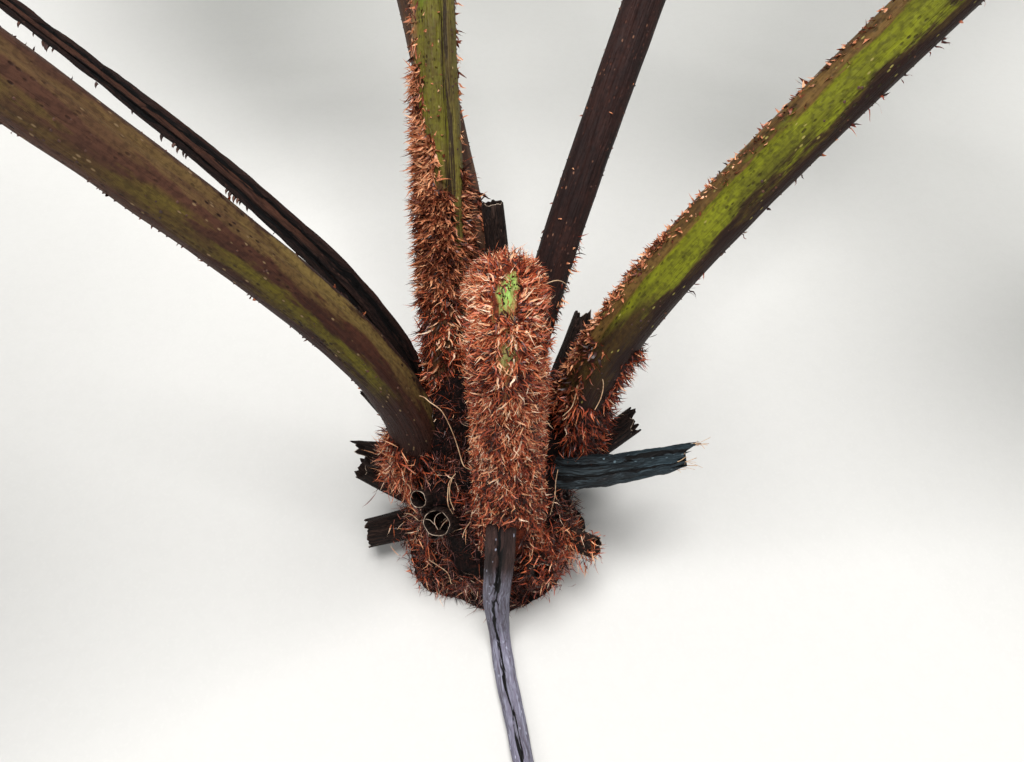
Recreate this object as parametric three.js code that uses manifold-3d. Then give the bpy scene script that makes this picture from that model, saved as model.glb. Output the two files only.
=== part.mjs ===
// Young rough-stalked tree fern, the whole plant, in millimetres with +Z up.
// The origin is the middle of the flat cut under the trunk, at ground level.
// The front of the plant, where the new frond uncoils, faces -Y.
import * as THREE from 'three';
import Module from 'manifold-3d';

const wasm = await Module();
wasm.setup();

// Clearance between two pieces that meet
const GAP = 0.3;

// Trunk: height and radius down its side, lean of its tip, and the bulges of old frond bases
const TRUNK_PROFILE = [
  [0, 60], [12, 55], [38, 52], [62, 53], [84, 50], [100, 43], [115, 33], [127, 20], [133, 8],
];
const TRUNK_TOP = 133;
const TRUNK_LEAN = new THREE.Vector3(-3, 22, 0);
const TRUNK_RINGS = 12;
const TRUNK_SIDES = 24;
const TRUNK_BULGE = 0.033;

// Stalks: a live frond's stalk is nearly round, with a groove along its upper side
const STALK_SIDES = 10;
const STALK_GROOVE = 0.16;
const STALK_GROOVE_WIDTH = 0.5;
const STALK_STEP = 36;
const STALK_FOOT_SWELL = 0.2;
const STALK_FOOT_LENGTH = 25;
const STALK_SUNK = 40;
const STALK_TUCK = 0.01;
const STALK_SETTLES = 60;
const STALK_SAG = 0.01;
const MEASURED_AT = 350;

// Blade: where it starts on the stalk, and how its leaflets are spaced and shaped
const BLADE_START = 480;
const ARCH_START = 400;
const SWAY_START = 280;
const SWAY_LENGTH = 950;
const RIB_SIDES = 5;
const RIB_STEP = 80;
const RIB_TIP_RADIUS = 1.6;
const LEAFLET_PITCH = [88, 42];
const LEAFLET_FILL = 0.86;
const LEAFLET_ANGLE = [80, 48];
const LEAFLET_SAG = 0.1;
const LEAFLET_THICKNESS = 1 / 80;
const LEAFLET_THINNEST = 2.6;
const LEAFLET_OUTLINE = [[0, 0.3], [0.16, 1], [0.6, 0.78]];
const SMALL_LEAFLET = 130;
const SMALL_OUTLINE = [[0, 0.5], [0.3, 1]];
const LEAFLET_SHORTEST = 24;
const LEAFLET_BROADEST = 0.42;
const LEAFLET_END_ROOM = 20;
const NEIGHBOUR_ROOM = 8;

// Leaflet length along the blade: its share at the foot, how fast it grows, and how it tapers to the tip
const BLADE_SHAPE = { foot: 0.5, rise: 1.7, taper: 2.4 };
const BLADE_CUTS = [0, 0.34, 0.68, 1];

// Live fronds. Angles in degrees: heading from +X towards +Y, lift from level.
// The heading sways by the given angle beyond what the stalk shows.
const FRONDS = [
  {
    name: 'left', root: [-44, 2, 92], heading: 183.6, rootLift: 98, lift: 54, sway: 30, arch: 24,
    width: [28, 28.5], length: 1780, leaflet: 345, share: 1, color: '#5f6b24',
  },
  {
    name: 'back_left', root: [-23, 32, 110], heading: 93.4, rootLift: 51, lift: 40.8, sway: -8, arch: 20,
    width: [26.5, 24.5], length: 1740, leaflet: 330, share: 1, color: '#7c9032',
  },
  {
    name: 'back', root: [0, 56, 96], heading: 105, rootLift: 72, lift: 31, sway: 28, arch: 15,
    width: [25, 22], length: 1560, leaflet: 300, share: 1, color: '#6a4a2c',
  },
  {
    name: 'back_right', root: [17, 34, 106], heading: 65, rootLift: 64, lift: 38.5, sway: -14, arch: 18,
    width: [20.5, 24.3], length: 1700, leaflet: 325, share: 1, color: '#4a2b24',
  },
  {
    name: 'right', root: [52, 14, 97], heading: 22.8, rootLift: 97, lift: 45.2, sway: -32, arch: 21,
    width: [29, 27], length: 1760, leaflet: 345, share: 1, color: '#86a02c',
  },
];

// Dead frond that still stands out to the left: a flattened, grooved stalk with a withered blade
const DEAD_FROND = {
  name: 'dead_left', root: [-50, 33, 96], heading: 151, rootLift: 112, lift: 26, sway: 12, arch: 125,
  width: [20.5, 8], length: 1180, leaflet: 170, share: 0.45, color: '#231a17',
};
const DEAD_FLATNESS = 0.62;
const LIVE_FLATNESS = 0.93;
const DEAD_BLADE_START = 420;
const DEAD_PITCH = [72, 48];
const DEAD_FILL = 0.42;
const DEAD_SAG = 0.75;

// Older dead frond: it hangs down the front of the trunk, then lies out along the ground.
// Its width and the ends of its three pieces are given by distance along it.
const FALLEN_FROND = {
  points: [
    [8, -30, 82], [7, -48, 82], [6, -60, 66], [4, -69, 38], [6, -80, 10], [9, -99, 6.5], [18, -140, 6.5],
    [34, -240, 7], [40, -420, 8], [30, -560, 9], [12, -720, 9], [2, -880, 7],
  ],
  width: [[0, 17], [55, 16], [100, 12.5], [450, 8], [905, 3]], flatness: 0.42, across: [1, 0, 0],
  bend: 97, bladeStart: 450, leaflet: 150, pitch: 58, fill: 0.5, spread: 0.88,
};

// Newest frond, still coiled, standing at the front: a stout stem that curls over backwards
const CROZIER = {
  foot: new THREE.Vector3(11, -30, 56), bend: new THREE.Vector3(11, -20, 196),
  radius: [20.5, 17.5], coilRadius: [22.5, 6], coilTube: [17.5, 5],
  turns: 1.5, coilStart: 0.03, pieces: 4, sides: 10,
};

// Tight hairy buds of later fronds at the tip of the trunk: centre, radius and height of each
const BUDS = [
  { at: [2, 22, 130], radius: 15, tall: 20 },
  { at: [-12, 36, 122], radius: 11, tall: 15 },
  { at: [22, 16, 120], radius: 12, tall: 15 },
];

// Broken stalk stubs that the photograph shows, then an even ring of them round the rest
const STUBS = [
  { name: 'left_upper', root: [-38, 8, 70], tip: [-76, 3, 84], radius: [10, 7.5] },
  { name: 'left_lower', root: [-38, -4, 21], tip: [-79, -16, 22], radius: [10.5, 9.5] },
  { name: 'front_left_upper', root: [-24, -8, 58], tip: [-40, -30, 86], radius: [9.5, 5.5] },
  { name: 'front_left_lower', root: [-18, -16, 50], tip: [-29, -43, 82], radius: [10, 8.3] },
  { name: 'front_right', root: [24, -38, 38], tip: [31, -61, 58], radius: [7.5, 6] },
  { name: 'right_front', root: [36, -20, 34], tip: [62, -42, 52], radius: [8, 6.5] },
  { name: 'right_upper', root: [46, 2, 70], tip: [85, 16, 100], radius: [8, 7.5] },
  { name: 'back_right', root: [40, 38, 88], tip: [58, 69, 131], radius: [9.5, 8] },
  { name: 'back', root: [12, 50, 98], tip: [2, 93, 197], radius: [7, 6] },
];
const RING_STUBS = {
  count: 7, from: 20, to: 176, heights: [36, 62], lift: 42, reach: [80, 88], radius: [10, 8],
};
const STUB_SIDES = 8;
const STUB_FLATNESS = 0.9;
const STUB_PIT = 0.62;
const STUB_PIT_DEPTH = 9;

// Black, flat piece of an old stalk that sticks out to the right
const BROKEN_STRAP = {
  points: [[26, -6, 80], [52, -15, 90], [88, -9, 90], [131, 2, 88]],
  width: [[0, 19], [45, 18], [110, 13]], flatness: 0.3, across: [0, 0.8, 0.6],
};

const COLORS = {
  trunk: '#3a2318', crozier: '#a5542a', bud: '#8a4522', stub: '#17120f', blade: '#3f6a24',
  deadBlade: '#5b4330', hung: '#3f3634',
};

const UP = new THREE.Vector3(0, 0, 1);
const rad = THREE.MathUtils.degToRad;
const lerp = THREE.MathUtils.lerp;

// Value at x of a table of [x, value] rows, straight between rows
function fromTable(table, x) {
  for (let i = 0; i + 1 < table.length; i += 1) {
    const [x0, v0] = table[i];
    const [x1, v1] = table[i + 1];
    if (x <= x1) return lerp(v0, v1, (x - x0) / (x1 - x0));
  }
  return table.at(-1)[1];
}

// Closed body through rings of equally many points, each end a fan round its middle or a tip
function loft(rings, tip = null) {
  const sides = rings[0].length;
  const points = rings.flat();
  const index = [];
  for (let r = 0; r + 1 < rings.length; r += 1) {
    for (let k = 0; k < sides; k += 1) {
      const a = r * sides + k;
      const b = r * sides + ((k + 1) % sides);
      index.push(a, b, a + sides, b, b + sides, a + sides);
    }
  }
  const middle = (ring) => ring.reduce((sum, p) => sum.add(p), new THREE.Vector3()).divideScalar(sides);
  const last = (rings.length - 1) * sides;
  points.push(middle(rings[0]), tip ?? middle(rings.at(-1)));
  for (let k = 0; k < sides; k += 1) {
    const next = (k + 1) % sides;
    index.push(points.length - 2, next, k, points.length - 1, last + k, last + next);
  }
  return facingOut(points.flatMap((p) => [p.x, p.y, p.z]), index);
}

// Solid from positions and triangles, turned so that its faces point out
function facingOut(positions, index) {
  let volume = 0;
  const corner = (i) => new THREE.Vector3().fromArray(positions, 3 * index[i]);
  for (let i = 0; i < index.length; i += 3) {
    volume += corner(i).dot(corner(i + 1).cross(corner(i + 2)));
  }
  const triVerts = Uint32Array.from(index);
  if (volume < 0) {
    for (let i = 0; i < index.length; i += 3) {
      triVerts[i] = index[i + 1];
      triVerts[i + 1] = index[i];
    }
  }
  const vertProperties = Float32Array.from(positions);
  return new wasm.Manifold(new wasm.Mesh({ numProp: 3, vertProperties, triVerts }));
}

// Solid from one of the library's closed shapes, with the vertices that its seams double merged
function fromShape(geometry) {
  const positions = geometry.getAttribute('position');
  const unique = new Map();
  const points = [];
  const slot = (i) => {
    const p = new THREE.Vector3().fromBufferAttribute(positions, i);
    const key = p.toArray().map((v) => v.toFixed(4)).join();
    if (!unique.has(key)) {
      unique.set(key, points.length);
      points.push(p);
    }
    return unique.get(key);
  };
  const index = [];
  const corners = geometry.getIndex().array;
  for (let i = 0; i < corners.length; i += 3) {
    const triangle = [slot(corners[i]), slot(corners[i + 1]), slot(corners[i + 2])];
    if (new Set(triangle).size === 3) index.push(...triangle);
  }
  return facingOut(points.flatMap((p) => p.toArray()), index);
}

// Largest of the bodies that a cut leaves, so that no loose scrap stays
function largest(solid) {
  return solid.decompose().reduce((best, body) => (body.volume() > best.volume() ? body : best));
}

// One ring of a stalk: side points sideways and normal points to its upper side
function stalkRing(centre, side, normal, halfWidth, flatness, sides, groove) {
  return Array.from({ length: sides }, (_, k) => {
    const turn = (2 * Math.PI * k) / sides;
    const fromTop = Math.min(turn, 2 * Math.PI - turn);
    const reach = halfWidth * (1 - groove * Math.exp(-((fromTop / STALK_GROOVE_WIDTH) ** 2)));
    return centre.clone()
      .addScaledVector(side, reach * Math.sin(turn))
      .addScaledVector(normal, reach * flatness * Math.cos(turn));
  });
}

// Trunk, grown by a margin where another piece is cut by it
function trunkSolid(margin) {
  const rings = [];
  for (let i = 0; i < TRUNK_RINGS; i += 1) {
    const height = (TRUNK_TOP * i) / (TRUNK_RINGS - 1);
    const ring = [];
    for (let k = 0; k < TRUNK_SIDES; k += 1) {
      const turn = (2 * Math.PI * k) / TRUNK_SIDES;
      const bulge = Math.cos(5 * turn + height * 0.07) + 0.6 * Math.cos(8 * turn - height * 0.1);
      const radius = fromTable(TRUNK_PROFILE, height) * (1 + TRUNK_BULGE * bulge) + margin;
      const lean = TRUNK_LEAN.clone().multiplyScalar(height / TRUNK_TOP);
      const z = i === 0 ? -margin : height + margin;
      ring.push(new THREE.Vector3(lean.x + radius * Math.cos(turn), lean.y + radius * Math.sin(turn), z));
    }
    rings.push(ring);
  }
  return loft(rings);
}

// Heading and lift of a frond's stalk and rib at a distance along it, in degrees
function frondAngles(frond, distance) {
  const settling = Math.exp(-distance / STALK_SETTLES);
  const swaying = THREE.MathUtils.smoothstep(distance, SWAY_START, SWAY_START + SWAY_LENGTH);
  const arching = Math.max(0, distance - ARCH_START) / 1000;
  return {
    heading: frond.heading + frond.sway * swaying,
    lift: frond.lift + (frond.rootLift - frond.lift) * settling - STALK_SAG * distance
      - frond.arch * arching * arching,
  };
}

// Frames along a frond, one each few millimetres: place, direction, side and upper side
const FRAME_STEP = 5;
function frondFrames(frond) {
  const frames = [];
  const centre = new THREE.Vector3(...frond.root);
  for (let distance = 0; distance <= frond.length + FRAME_STEP; distance += FRAME_STEP) {
    const angles = frondAngles(frond, distance);
    const h = rad(angles.heading);
    const l = rad(angles.lift);
    const along = new THREE.Vector3(Math.cos(h) * Math.cos(l), Math.sin(h) * Math.cos(l), Math.sin(l));
    const side = new THREE.Vector3(Math.sin(h), -Math.cos(h), 0);
    const normal = side.clone().cross(along);
    frames.push({ centre: centre.clone(), along, side, normal });
    centre.addScaledVector(along, FRAME_STEP);
  }
  return frames;
}

// Frame at any distance; where it is negative, down from the root and in towards the trunk's middle
function frameAt(frames, distance) {
  const at = THREE.MathUtils.clamp(distance / FRAME_STEP, 0, frames.length - 1.001);
  const low = frames[Math.floor(at)];
  const high = frames[Math.floor(at) + 1];
  const part = at - Math.floor(at);
  const blend = (key) => low[key].clone().lerp(high[key], part);
  const frame = {
    centre: blend('centre'), along: blend('along').normalize(),
    side: blend('side').normalize(), normal: blend('normal').normalize(),
  };
  if (distance < 0) {
    const inward = new THREE.Vector3(TRUNK_LEAN.x, TRUNK_LEAN.y, 0).sub(frame.centre).setZ(0).normalize();
    frame.centre.addScaledVector(frame.along, distance);
    frame.centre.addScaledVector(inward, STALK_TUCK * distance * distance);
  }
  return frame;
}

// Half width of a frond's stalk and rib at a distance along it
function halfWidthAt(frond, distance) {
  const [wide, later] = frond.width;
  const swell = 1 + STALK_FOOT_SWELL * Math.exp(-Math.max(0, distance) / STALK_FOOT_LENGTH);
  if (distance < MEASURED_AT) return (lerp(wide, later, Math.max(0, distance) / MEASURED_AT) / 2) * swell;
  const left = 1 - (distance - MEASURED_AT) / (frond.length - MEASURED_AT);
  return Math.max(0, left) ** 1.15 * (later / 2 - RIB_TIP_RADIUS) + RIB_TIP_RADIUS;
}

// Stretch of a frond's stalk or rib between two distances
function stretch(frond, from, to, step, sides, groove, flatness, margin) {
  const spans = Math.max(1, Math.round((to - from) / step));
  const rings = [];
  for (let i = 0; i <= spans; i += 1) {
    const distance = lerp(from, to, i / spans);
    const { centre, side, normal } = frameAt(frond.frames, distance);
    const half = halfWidthAt(frond, distance) + margin;
    rings.push(stalkRing(centre, side, normal, half, flatness, sides, groove));
  }
  return loft(rings);
}

// Leaflet: a thin pointed blade, flat below and ridged above, its root sunk in the rib
function leaflet(root, out, normal, length, width, sag) {
  const across = out.clone().cross(normal).normalize();
  const thick = Math.max(LEAFLET_THINNEST, length * LEAFLET_THICKNESS);
  const along = (u) => (
    root.clone().addScaledVector(out, length * u).addScaledVector(UP, -sag * length * u * u)
  );
  const outline = length < SMALL_LEAFLET ? SMALL_OUTLINE : LEAFLET_OUTLINE;
  const rings = outline.map(([u, share]) => {
    const middle = along(u);
    const reach = (width * share) / 2;
    return [[reach, 0], [0, thick], [-reach, 0]].map(([sideways, up]) => (
      middle.clone().addScaledVector(across, sideways).addScaledVector(normal, up - 0.4 * thick)
    ));
  });
  return loft(rings, along(1));
}

// Azimuth in plan of a frond where it is a given distance out from the trunk
function planAzimuth(frames, out) {
  const frame = frames.find(({ centre }) => Math.hypot(centre.x, centre.y) >= out) ?? frames.at(-1);
  return Math.atan2(frame.centre.y, frame.centre.x);
}

// Length at which a leaflet's tip still keeps to its own frond's part of the crown
function roomFor(frond, root, out, length) {
  let allowed = length;
  while (allowed > LEAFLET_SHORTEST) {
    const tip = root.clone().addScaledVector(out, allowed + NEIGHBOUR_ROOM);
    const reach = Math.hypot(tip.x, tip.y);
    const turnFrom = (angle) => Math.atan2(Math.sin(angle), Math.cos(angle));
    const own = planAzimuth(frond.frames, reach);
    const tipTurn = turnFrom(Math.atan2(tip.y, tip.x) - own);
    const clear = frond.neighbours.every((other) => {
      const turn = turnFrom(planAzimuth(other.frames, reach) - own);
      const share = frond.share / (frond.share + other.share);
      return turn * tipTurn < 0 || Math.abs(tipTurn) < Math.abs(turn) * share;
    });
    if (clear) return allowed;
    allowed -= 6;
  }
  return 0;
}

// Places, lengths and widths of a frond's leaflets, from its lowest pair to its tip
function leafletPlan(frond, start, pitch, fill) {
  const plan = [];
  const blade = frond.length - start;
  let distance = start + LEAFLET_END_ROOM + 10;
  while (distance < frond.length - 12) {
    const v = (distance - start) / blade;
    const step = lerp(pitch[0], pitch[1], v ** 0.8);
    const size = Math.min(1, BLADE_SHAPE.foot + BLADE_SHAPE.rise * v) * (1 - v ** BLADE_SHAPE.taper);
    plan.push({
      distance, width: step * fill, length: Math.max(LEAFLET_SHORTEST, frond.leaflet * size),
      angle: rad(lerp(LEAFLET_ANGLE[0], LEAFLET_ANGLE[1], v)),
    });
    distance += step;
  }
  return plan;
}

// Stretch of a blade between two distances: the rib with its pairs of leaflets
function bladeSolid(frond, plan, from, to, sag) {
  let solid = stretch(frond, from, to, RIB_STEP, RIB_SIDES, 0, 1, 0);
  const inside = plan.filter(({ distance }) => distance > from + LEAFLET_END_ROOM
    && (distance < to - LEAFLET_END_ROOM || to === frond.length));
  inside.forEach(({ distance, length, width, angle }) => {
    const { centre, along, side, normal } = frameAt(frond.frames, distance);
    [-1, 1].forEach((hand) => {
      const out = along.clone().multiplyScalar(Math.cos(angle)).addScaledVector(side, hand * Math.sin(angle));
      const allowed = roomFor(frond, centre, out, length);
      const breadth = Math.min(width, allowed * LEAFLET_BROADEST);
      if (allowed) solid = solid.add(leaflet(centre, out, normal, allowed, breadth, sag));
    });
  });
  if (to === frond.length) {
    const { centre, along, normal } = frameAt(frond.frames, to - 4);
    solid = solid.add(leaflet(centre, along, normal, LEAFLET_SHORTEST * 1.6, LEAFLET_SHORTEST * 0.5, sag));
  }
  return largest(solid);
}

// Smooth path of a strap of dead stalk, with its frame at a distance along it
function strapPath({ points, across }) {
  const path = new THREE.CatmullRomCurve3(points.map((p) => new THREE.Vector3(...p)));
  path.arcLengthDivisions = 400;
  const length = path.getLength();
  const frame = (distance) => {
    const u = THREE.MathUtils.clamp(distance / length, 0, 1);
    const along = path.getTangentAt(u);
    const side = new THREE.Vector3(...across);
    side.addScaledVector(along, -side.dot(along)).normalize();
    return { centre: path.getPointAt(u), along, side, normal: side.clone().cross(along) };
  };
  return { length, frame };
}

// Flat strap of dead stalk between two distances along it
function strapSolid(strap, from, to, step, margin = 0) {
  const { frame } = strapPath(strap);
  const spans = Math.round((to - from) / step);
  const rings = [];
  for (let i = 0; i <= spans; i += 1) {
    const distance = lerp(from, to, i / spans);
    const { centre, side, normal } = frame(distance);
    const half = fromTable(strap.width, distance) / 2 + margin;
    rings.push(stalkRing(centre, side, normal, half, strap.flatness, 8, 0));
  }
  return loft(rings);
}

// Withered blade of the older dead frond, lying flat on the ground
function fallenBladeSolid(strap, from) {
  const { length, frame } = strapPath(strap);
  let solid = strapSolid(strap, from, length, RIB_STEP);
  for (let distance = from + 0.7 * strap.pitch; distance < length; distance += strap.pitch) {
    const v = (distance - from) / (length - from);
    const { centre, along, side } = frame(distance);
    [-1, 1].forEach((hand) => {
      const out = along.clone().addScaledVector(side, strap.spread * hand).setZ(-0.02).normalize();
      const size = strap.leaflet * (0.55 + 0.45 * Math.sin(5 * v + hand)) * (1 - v ** 3);
      const breadth = strap.pitch * strap.fill;
      if (size > LEAFLET_SHORTEST) solid = solid.add(leaflet(centre, out, UP, size, breadth, 0));
    });
  }
  return largest(solid);
}

// Broken stub of a stalk with a hollow end
function stubSolid({ root, tip, radius }) {
  const from = new THREE.Vector3(...root);
  const to = new THREE.Vector3(...tip);
  const along = to.clone().sub(from);
  const length = along.length();
  along.divideScalar(length);
  const side = along.clone().cross(UP).normalize();
  const normal = side.clone().cross(along);
  const ringAt = (distance, r) => {
    const centre = from.clone().addScaledVector(along, distance);
    return stalkRing(centre, side, normal, r, STUB_FLATNESS, STUB_SIDES, 0);
  };
  const outer = loft([ringAt(0, radius[0]), ringAt(length, radius[1])]);
  const pit = loft([
    ringAt(length - STUB_PIT_DEPTH, radius[1] * STUB_PIT * 0.8), ringAt(length + 1, radius[1] * STUB_PIT),
  ]);
  return outer.subtract(pit);
}

// Coiled young frond: the stem, then the coil in short stretches that run into each other
function crozierSolid({ foot, bend, radius, coilRadius, coilTube, turns, coilStart, pieces, sides }) {
  const rise = bend.clone().sub(foot).normalize();
  const side = new THREE.Vector3(1, 0, 0);
  const inward = rise.clone().cross(side).normalize();
  const hub = bend.clone().addScaledVector(inward, coilRadius[0]);
  const coilRing = (turn) => {
    const part = turn / turns;
    const angle = 2 * Math.PI * turn;
    const away = inward.clone().multiplyScalar(-Math.cos(angle)).addScaledVector(rise, Math.sin(angle));
    const centre = hub.clone().addScaledVector(away, lerp(coilRadius[0], coilRadius[1], part ** 0.8));
    return stalkRing(centre, side, away, lerp(coilTube[0], coilTube[1], part), 1, sides, 0);
  };
  const stemRings = [0, 0.33, 0.66, 1].map((u) => {
    const centre = foot.clone().lerp(bend, u);
    return stalkRing(centre, side, inward.clone().negate(), lerp(radius[0], radius[1], u), 1, sides, 0);
  });
  stemRings.push(coilRing(coilStart), coilRing(2 * coilStart));
  let solid = loft(stemRings);
  const piece = (turns - coilStart) / pieces;
  for (let i = 0; i < pieces; i += 1) {
    const start = coilStart + i * piece;
    const turnAt = (k) => Math.min(turns, start + (piece + coilStart) * (k / 4));
    solid = solid.add(loft([0, 1, 2, 3, 4].map((k) => coilRing(turnAt(k)))));
  }
  return largest(solid);
}

function budSolid() {
  return BUDS.reduce((whole, { at, radius, tall }) => {
    const shape = new THREE.SphereGeometry(radius, 8, 6);
    shape.rotateX(Math.PI / 2);
    shape.scale(1, 1, tall / radius);
    shape.translate(...at);
    const bud = fromShape(shape);
    return whole ? whole.add(bud) : bud;
  }, null);
}

const fern = new THREE.Group();

// Named mesh of a solid, in the colour that the part shows
function addNode(name, solid, color, roughness = 0.8) {
  const mesh = solid.getMesh();
  const geometry = new THREE.BufferGeometry();
  geometry.setAttribute('position', new THREE.BufferAttribute(Float32Array.from(mesh.vertProperties), 3));
  geometry.setIndex(new THREE.BufferAttribute(Uint32Array.from(mesh.triVerts), 1));
  geometry.computeVertexNormals();
  const material = new THREE.MeshStandardMaterial({ color, roughness, metalness: 0 });
  const node = new THREE.Mesh(geometry, material);
  node.name = name;
  fern.add(node);
}

// Solids that later pieces are cut by, each already grown by the clearance
const cutters = [trunkSolid(GAP)];
const clearOfAll = (solid) => largest(cutters.reduce((left, cutter) => left.subtract(cutter), solid));

addNode('trunk', trunkSolid(0), COLORS.trunk, 0.9);

// Stalks of the live fronds and of the dead one on the left
const standing = [...FRONDS, DEAD_FROND];
standing.forEach((frond) => {
  frond.frames = frondFrames(frond);
});
const inOrder = [FRONDS[4], FRONDS[3], FRONDS[1], FRONDS[2], DEAD_FROND, FRONDS[0]];
inOrder.forEach((frond, i) => {
  frond.neighbours = [inOrder[i - 1], inOrder[i + 1]].filter(Boolean);
});
standing.forEach((frond) => {
  const dead = frond === DEAD_FROND;
  const end = dead ? DEAD_BLADE_START : BLADE_START;
  const flatness = dead ? DEAD_FLATNESS : LIVE_FLATNESS;
  const stalk = (margin) => (
    stretch(frond, -STALK_SUNK, end - GAP, STALK_STEP, STALK_SIDES, STALK_GROOVE, flatness, margin)
  );
  addNode(dead ? 'dead_stalk_left' : `stalk_${frond.name}`, clearOfAll(stalk(0)), frond.color, 0.6);
  cutters.push(stalk(GAP));
});

// Blades, each in stretches that meet end to end
FRONDS.forEach((frond) => {
  const plan = leafletPlan(frond, BLADE_START, LEAFLET_PITCH, LEAFLET_FILL);
  const cuts = BLADE_CUTS.map((u) => lerp(BLADE_START, frond.length, u));
  ['lower', 'middle', 'tip'].forEach((part, i) => {
    const end = i === 2 ? frond.length : cuts[i + 1] - GAP;
    addNode(`blade_${frond.name}_${part}`, bladeSolid(frond, plan, cuts[i], end, LEAFLET_SAG), COLORS.blade);
  });
});
const deadPlan = leafletPlan(DEAD_FROND, DEAD_BLADE_START, DEAD_PITCH, DEAD_FILL);
const deadMiddle = lerp(DEAD_BLADE_START, DEAD_FROND.length, 0.5);
const deadStretch = (from, to) => bladeSolid(DEAD_FROND, deadPlan, from, to, DEAD_SAG);
addNode('dead_blade_left_upper', deadStretch(DEAD_BLADE_START, deadMiddle - GAP), COLORS.deadBlade);
addNode('dead_blade_left_tip', deadStretch(deadMiddle, DEAD_FROND.length), COLORS.deadBlade);

// Coiled frond and buds at the tip of the trunk
addNode('crozier_front', clearOfAll(crozierSolid(CROZIER)), COLORS.crozier, 0.9);
const grownCrozier = {
  ...CROZIER, radius: CROZIER.radius.map((r) => r + GAP), coilTube: CROZIER.coilTube.map((r) => r + GAP),
};
cutters.push(crozierSolid(grownCrozier));
addNode('crown_buds', clearOfAll(budSolid()), COLORS.bud, 0.9);

// Dead frond at the front, from the trunk down and out along the ground
const { bend, bladeStart } = FALLEN_FROND;
addNode('dead_stalk_front_upper', clearOfAll(strapSolid(FALLEN_FROND, 0, bend, 9)), COLORS.hung, 0.7);
addNode('dead_stalk_front_lower', strapSolid(FALLEN_FROND, bend + GAP, bladeStart, 30), COLORS.hung, 0.7);
addNode('dead_blade_front', fallenBladeSolid(FALLEN_FROND, bladeStart + GAP), COLORS.deadBlade);
cutters.push(strapSolid(FALLEN_FROND, 0, bend, 9, GAP));

// Broken stubs and the flat broken piece on the right
const strapLength = strapPath(BROKEN_STRAP).length;
addNode('broken_strap_right', clearOfAll(strapSolid(BROKEN_STRAP, 0, strapLength, 14)), COLORS.stub, 0.5);
cutters.push(strapSolid(BROKEN_STRAP, 0, strapLength, 14, GAP));
const ringStubs = Array.from({ length: RING_STUBS.count }, (_, i) => {
  const { count, from, to, heights, lift, reach, radius } = RING_STUBS;
  const turn = rad(lerp(from, to, i / (count - 1)));
  const height = heights[i % 2];
  const lean = TRUNK_LEAN.clone().multiplyScalar(height / TRUNK_TOP);
  const out = reach[i % 2];
  const inner = out * 0.42;
  const rise = Math.tan(rad(lift)) * (out - inner);
  return {
    name: `ring_${i + 1}`, radius,
    root: [lean.x + inner * Math.cos(turn), lean.y + inner * Math.sin(turn), height - rise * 0.5],
    tip: [lean.x + out * Math.cos(turn), lean.y + out * Math.sin(turn), height + rise * 0.5],
  };
});
[...STUBS, ...ringStubs].forEach((stub) => {
  addNode(`stub_${stub.name}`, clearOfAll(stubSolid(stub)), COLORS.stub, 0.85);
  cutters.push(stubSolid({ ...stub, radius: stub.radius.map((r) => r + GAP) }));
});

export default fern;
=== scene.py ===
import math

import bpy
import numpy as np
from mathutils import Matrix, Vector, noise


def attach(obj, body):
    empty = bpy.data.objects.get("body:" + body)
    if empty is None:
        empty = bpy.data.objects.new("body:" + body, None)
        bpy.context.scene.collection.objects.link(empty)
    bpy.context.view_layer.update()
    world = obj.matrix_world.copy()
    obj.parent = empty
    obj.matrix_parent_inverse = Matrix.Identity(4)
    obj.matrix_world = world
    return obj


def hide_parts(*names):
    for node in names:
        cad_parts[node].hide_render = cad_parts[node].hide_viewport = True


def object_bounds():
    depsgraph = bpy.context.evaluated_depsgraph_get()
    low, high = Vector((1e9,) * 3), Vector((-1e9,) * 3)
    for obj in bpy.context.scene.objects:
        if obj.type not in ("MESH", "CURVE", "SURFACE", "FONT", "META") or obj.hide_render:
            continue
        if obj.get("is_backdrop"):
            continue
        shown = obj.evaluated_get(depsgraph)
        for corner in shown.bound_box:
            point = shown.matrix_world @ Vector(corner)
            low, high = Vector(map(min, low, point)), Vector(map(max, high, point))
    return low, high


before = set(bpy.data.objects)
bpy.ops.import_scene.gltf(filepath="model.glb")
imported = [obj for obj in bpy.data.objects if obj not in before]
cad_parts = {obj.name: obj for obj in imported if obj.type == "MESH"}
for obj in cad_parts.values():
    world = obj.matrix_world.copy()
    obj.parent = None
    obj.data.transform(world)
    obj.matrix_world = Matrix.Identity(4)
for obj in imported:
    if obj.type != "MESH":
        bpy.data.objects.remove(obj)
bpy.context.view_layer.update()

# Camera
# It looks down into the crown from the front, inside the ring of fronds, as the photograph was taken.
CAMERA_PLACE = (0.013, -0.257, 0.46)
CAMERA_TILT = math.radians(40)
CAMERA_LENS = 27.07
CAMERA_NEAR = 0.01
camera = bpy.data.objects.new("camera", bpy.data.cameras.new("camera"))
camera.location = CAMERA_PLACE
camera.rotation_euler = (CAMERA_TILT, 0, 0)
camera.data.lens = CAMERA_LENS
camera.data.clip_start = CAMERA_NEAR
bpy.context.scene.collection.objects.link(camera)
bpy.context.scene.camera = camera

# Trunk
# The real trunk is a short upright stem of hard fibre, swollen at the ground and covered in the bases of old
# fronds. It stands in the ground on its roots, and here on the flat cut at ground level. Sizes are in mm.
MM = 0.001
TRUNK_PROFILE = [
    (0, 60), (12, 55), (38, 52), (62, 53), (84, 50), (100, 43), (115, 33), (127, 20), (133, 8),
]
TRUNK_TOP = 133
TRUNK_LEAN = np.array([-3.0, 22.0, 0.0])
TRUNK_BULGE = 0.033
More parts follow.
